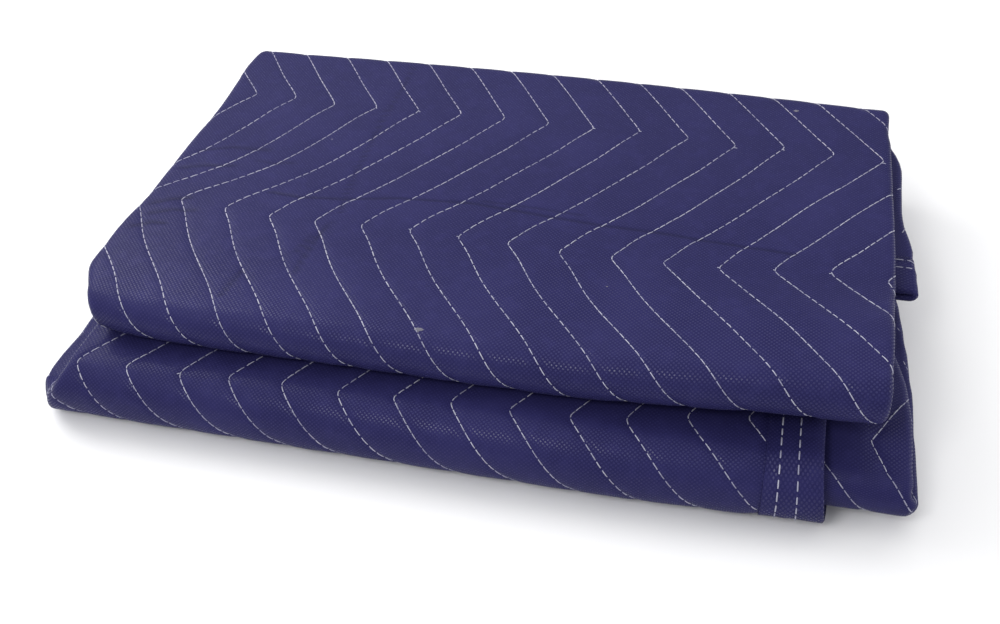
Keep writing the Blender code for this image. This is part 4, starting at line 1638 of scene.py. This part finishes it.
@dataclass(frozen=True)
class Studio:
    """The floor, the soft lights and the camera at the photograph's angle."""

    camera_x: float = (11.2135 + SHIFT_X) * PITCH
    camera_y: float = (-19.2914 + SHIFT_Y) * PITCH
    camera_z: float = (13.0918 + 2.4088) * PITCH
    yaw: float = math.radians(-16.353)
    pitch_down: float = math.radians(43.425)
    roll: float = math.radians(-4.134)
    focal_pixels: float = 1062.77
    picture_width: float = 1000.0
    overhead_from: tuple[float, float, float] = (-0.25, 0.20, 1.0)
    overhead_spread: float = 100.0
    overhead_power: float = 1.25
    lamps: tuple[Lamp, ...] = (
        Lamp("front_soft_light", (-0.35, -1.05, 1.25), (0.0, -0.15, 0.05), 0.40, 7.0),
        Lamp("left_soft_light", (-1.0, 0.35, 0.95), (0.0, 0.0, 0.1), 0.9, 10.0),
        Lamp("right_soft_light", (1.35, 0.1, 0.4), (0.3, 0.0, 0.08), 0.5, 4.0),
    )
    surroundings: float = 0.45
    floor_reach: float = 6.0
    floor_colour: tuple[float, float, float, float] = (0.93, 0.93, 0.94, 1.0)
    floor_roughness: float = 0.9

    def camera(self) -> bpy.types.Object:
        """Make the camera and set it as the scene's."""
        ahead = Vector((math.sin(self.yaw) * math.cos(self.pitch_down),
                        math.cos(self.yaw) * math.cos(self.pitch_down), -math.sin(self.pitch_down)))
        level = Vector((math.cos(self.yaw), -math.sin(self.yaw), 0.0))
        above = level.cross(ahead)
        right = math.cos(self.roll) * level + math.sin(self.roll) * above
        upright = -math.sin(self.roll) * level + math.cos(self.roll) * above
        data = bpy.data.cameras.new("photograph_camera")
        data.sensor_width = 36.0
        data.lens = data.sensor_width * self.focal_pixels / self.picture_width
        data.clip_start = 0.05
        data.clip_end = 50.0
        camera = bpy.data.objects.new("photograph_camera", data)
        matrix = Matrix((right, upright, -ahead)).transposed().to_4x4()
        matrix.translation = Vector((self.camera_x, self.camera_y, self.camera_z))
        camera.matrix_world = matrix
        bpy.context.scene.collection.objects.link(camera)
        bpy.context.scene.camera = camera
        return camera

    def floor(self) -> bpy.types.Object:
        """Make the plain pale floor."""
        bm = bmesh.new()
        reach = self.floor_reach
        corners = [(-reach, -reach), (reach, -reach), (reach, reach), (-reach, reach)]
        bm.faces.new([bm.verts.new((x, y, 0.0)) for x, y in corners])
        floor = finish_mesh(bm, "pale_floor")
        material = bpy.data.materials.new("pale_floor_paint")
        material.use_nodes = True
        shader = material.node_tree.nodes["Principled BSDF"]
        shader.inputs["Base Color"].default_value = self.floor_colour
        shader.inputs["Roughness"].default_value = self.floor_roughness
        floor.data.materials.append(material)
        return floor

    @staticmethod
    def soft_lamp(lamp: Lamp) -> None:
        """Add one square soft light that faces its target."""
        data = bpy.data.lights.new(lamp.name, "AREA")
        data.size = lamp.size
        data.energy = lamp.power
        obj = bpy.data.objects.new(lamp.name, data)
        obj.location = lamp.place
        obj.rotation_mode = "QUATERNION"
        obj.rotation_quaternion = (Vector(lamp.target) - Vector(lamp.place)).to_track_quat("-Z", "Y")
        bpy.context.scene.collection.objects.link(obj)

    def sky_lamp(self) -> None:
        """Add the broad even light from above."""
        data = bpy.data.lights.new("overhead_soft_light", "SUN")
        data.angle = math.radians(self.overhead_spread)
        data.energy = self.overhead_power
        lamp = bpy.data.objects.new("overhead_soft_light", data)
        lamp.rotation_mode = "QUATERNION"
        lamp.rotation_quaternion = Vector(self.overhead_from).to_track_quat("Z", "Y")
        bpy.context.scene.collection.objects.link(lamp)

    def lights(self) -> None:
        """Add the soft lights and the even surroundings."""
        self.sky_lamp()
        for lamp in self.lamps:
            self.soft_lamp(lamp)
        world = bpy.data.worlds.new("even_surroundings")
        bpy.context.scene.world = world
        world.use_nodes = True
        background = world.node_tree.nodes["Background"]
        background.inputs["Color"].default_value = (1.0, 1.0, 1.0, 1.0)
        background.inputs["Strength"].default_value = self.surroundings

    def build(self) -> None:
        """Make the floor, lights and camera."""
        self.camera()
        self.floor()
        self.lights()
        bpy.context.scene.view_settings.view_transform = "Standard"


def report(obj: bpy.types.Object) -> None:
    """Log one piece with its size in triangles."""
    triangles = sum(len(face.vertices) - 2 for face in obj.data.polygons)
    LOG.info("%s: %d triangles", obj.name, triangles)


def main() -> None:
    """Build every piece of the blanket and its studio in order."""
    logging.basicConfig(level=logging.INFO, format="%(name)s: %(message)s")
    Studio().build()
    cloth = ClothFinish()
    tape = ClothFinish(name="navy_binding_cloth", colour=(0.0110, 0.0100, 0.064, 1.0))
    thread = ThreadFinish()
    panel = QuiltedPanel()
    sheet = panel.dress(cloth)
    report(sheet)
    quilting = QuiltingThread(panel)
    for level, low, high, name in (
        (Level.UPPER, 0.0, STARTS[5] - 0.01, "upper_quilting_thread"),
        (Level.LOWER, STARTS[5] + 0.01, LONG_END, "lower_quilting_thread"),
        (Level.FLAP, STARTS[5] + 0.01, LONG_END, "corner_quilting_thread"),
    ):
        stitches = quilting.build(level, low, high, name)
        stitches.data.materials.append(thread.material())
        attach(stitches, BODY)
        report(stitches)
    tape_stitch = ThreadShape(length=0.0068, pause=0.0032, radius=0.0005)
    lint = Lint(panel).dress(ThreadFinish("grey_lint", (0.16, 0.15, 0.19, 1.0), (0.07, 0.07, 0.11, 1.0)))
    report(lint)
    for binding in (
        Binding("flap_side_tape", "flap_side_binding", True, True, (0.415, 0.745), panel),
        Binding("inner_side_tape", "inner_side_binding", False, True, (0.415, 0.745), panel),
        Binding("free_end_tape", "free_end_binding", False, False, (0.65, 0.89), panel),
        Binding("hidden_end_tape", "hidden_end_binding", True, False, (0.65, 0.89), panel),
    ):
        for piece in binding.dress(tape, thread, tape_stitch):
            report(piece)


if __name__ == "__main__":
    main()
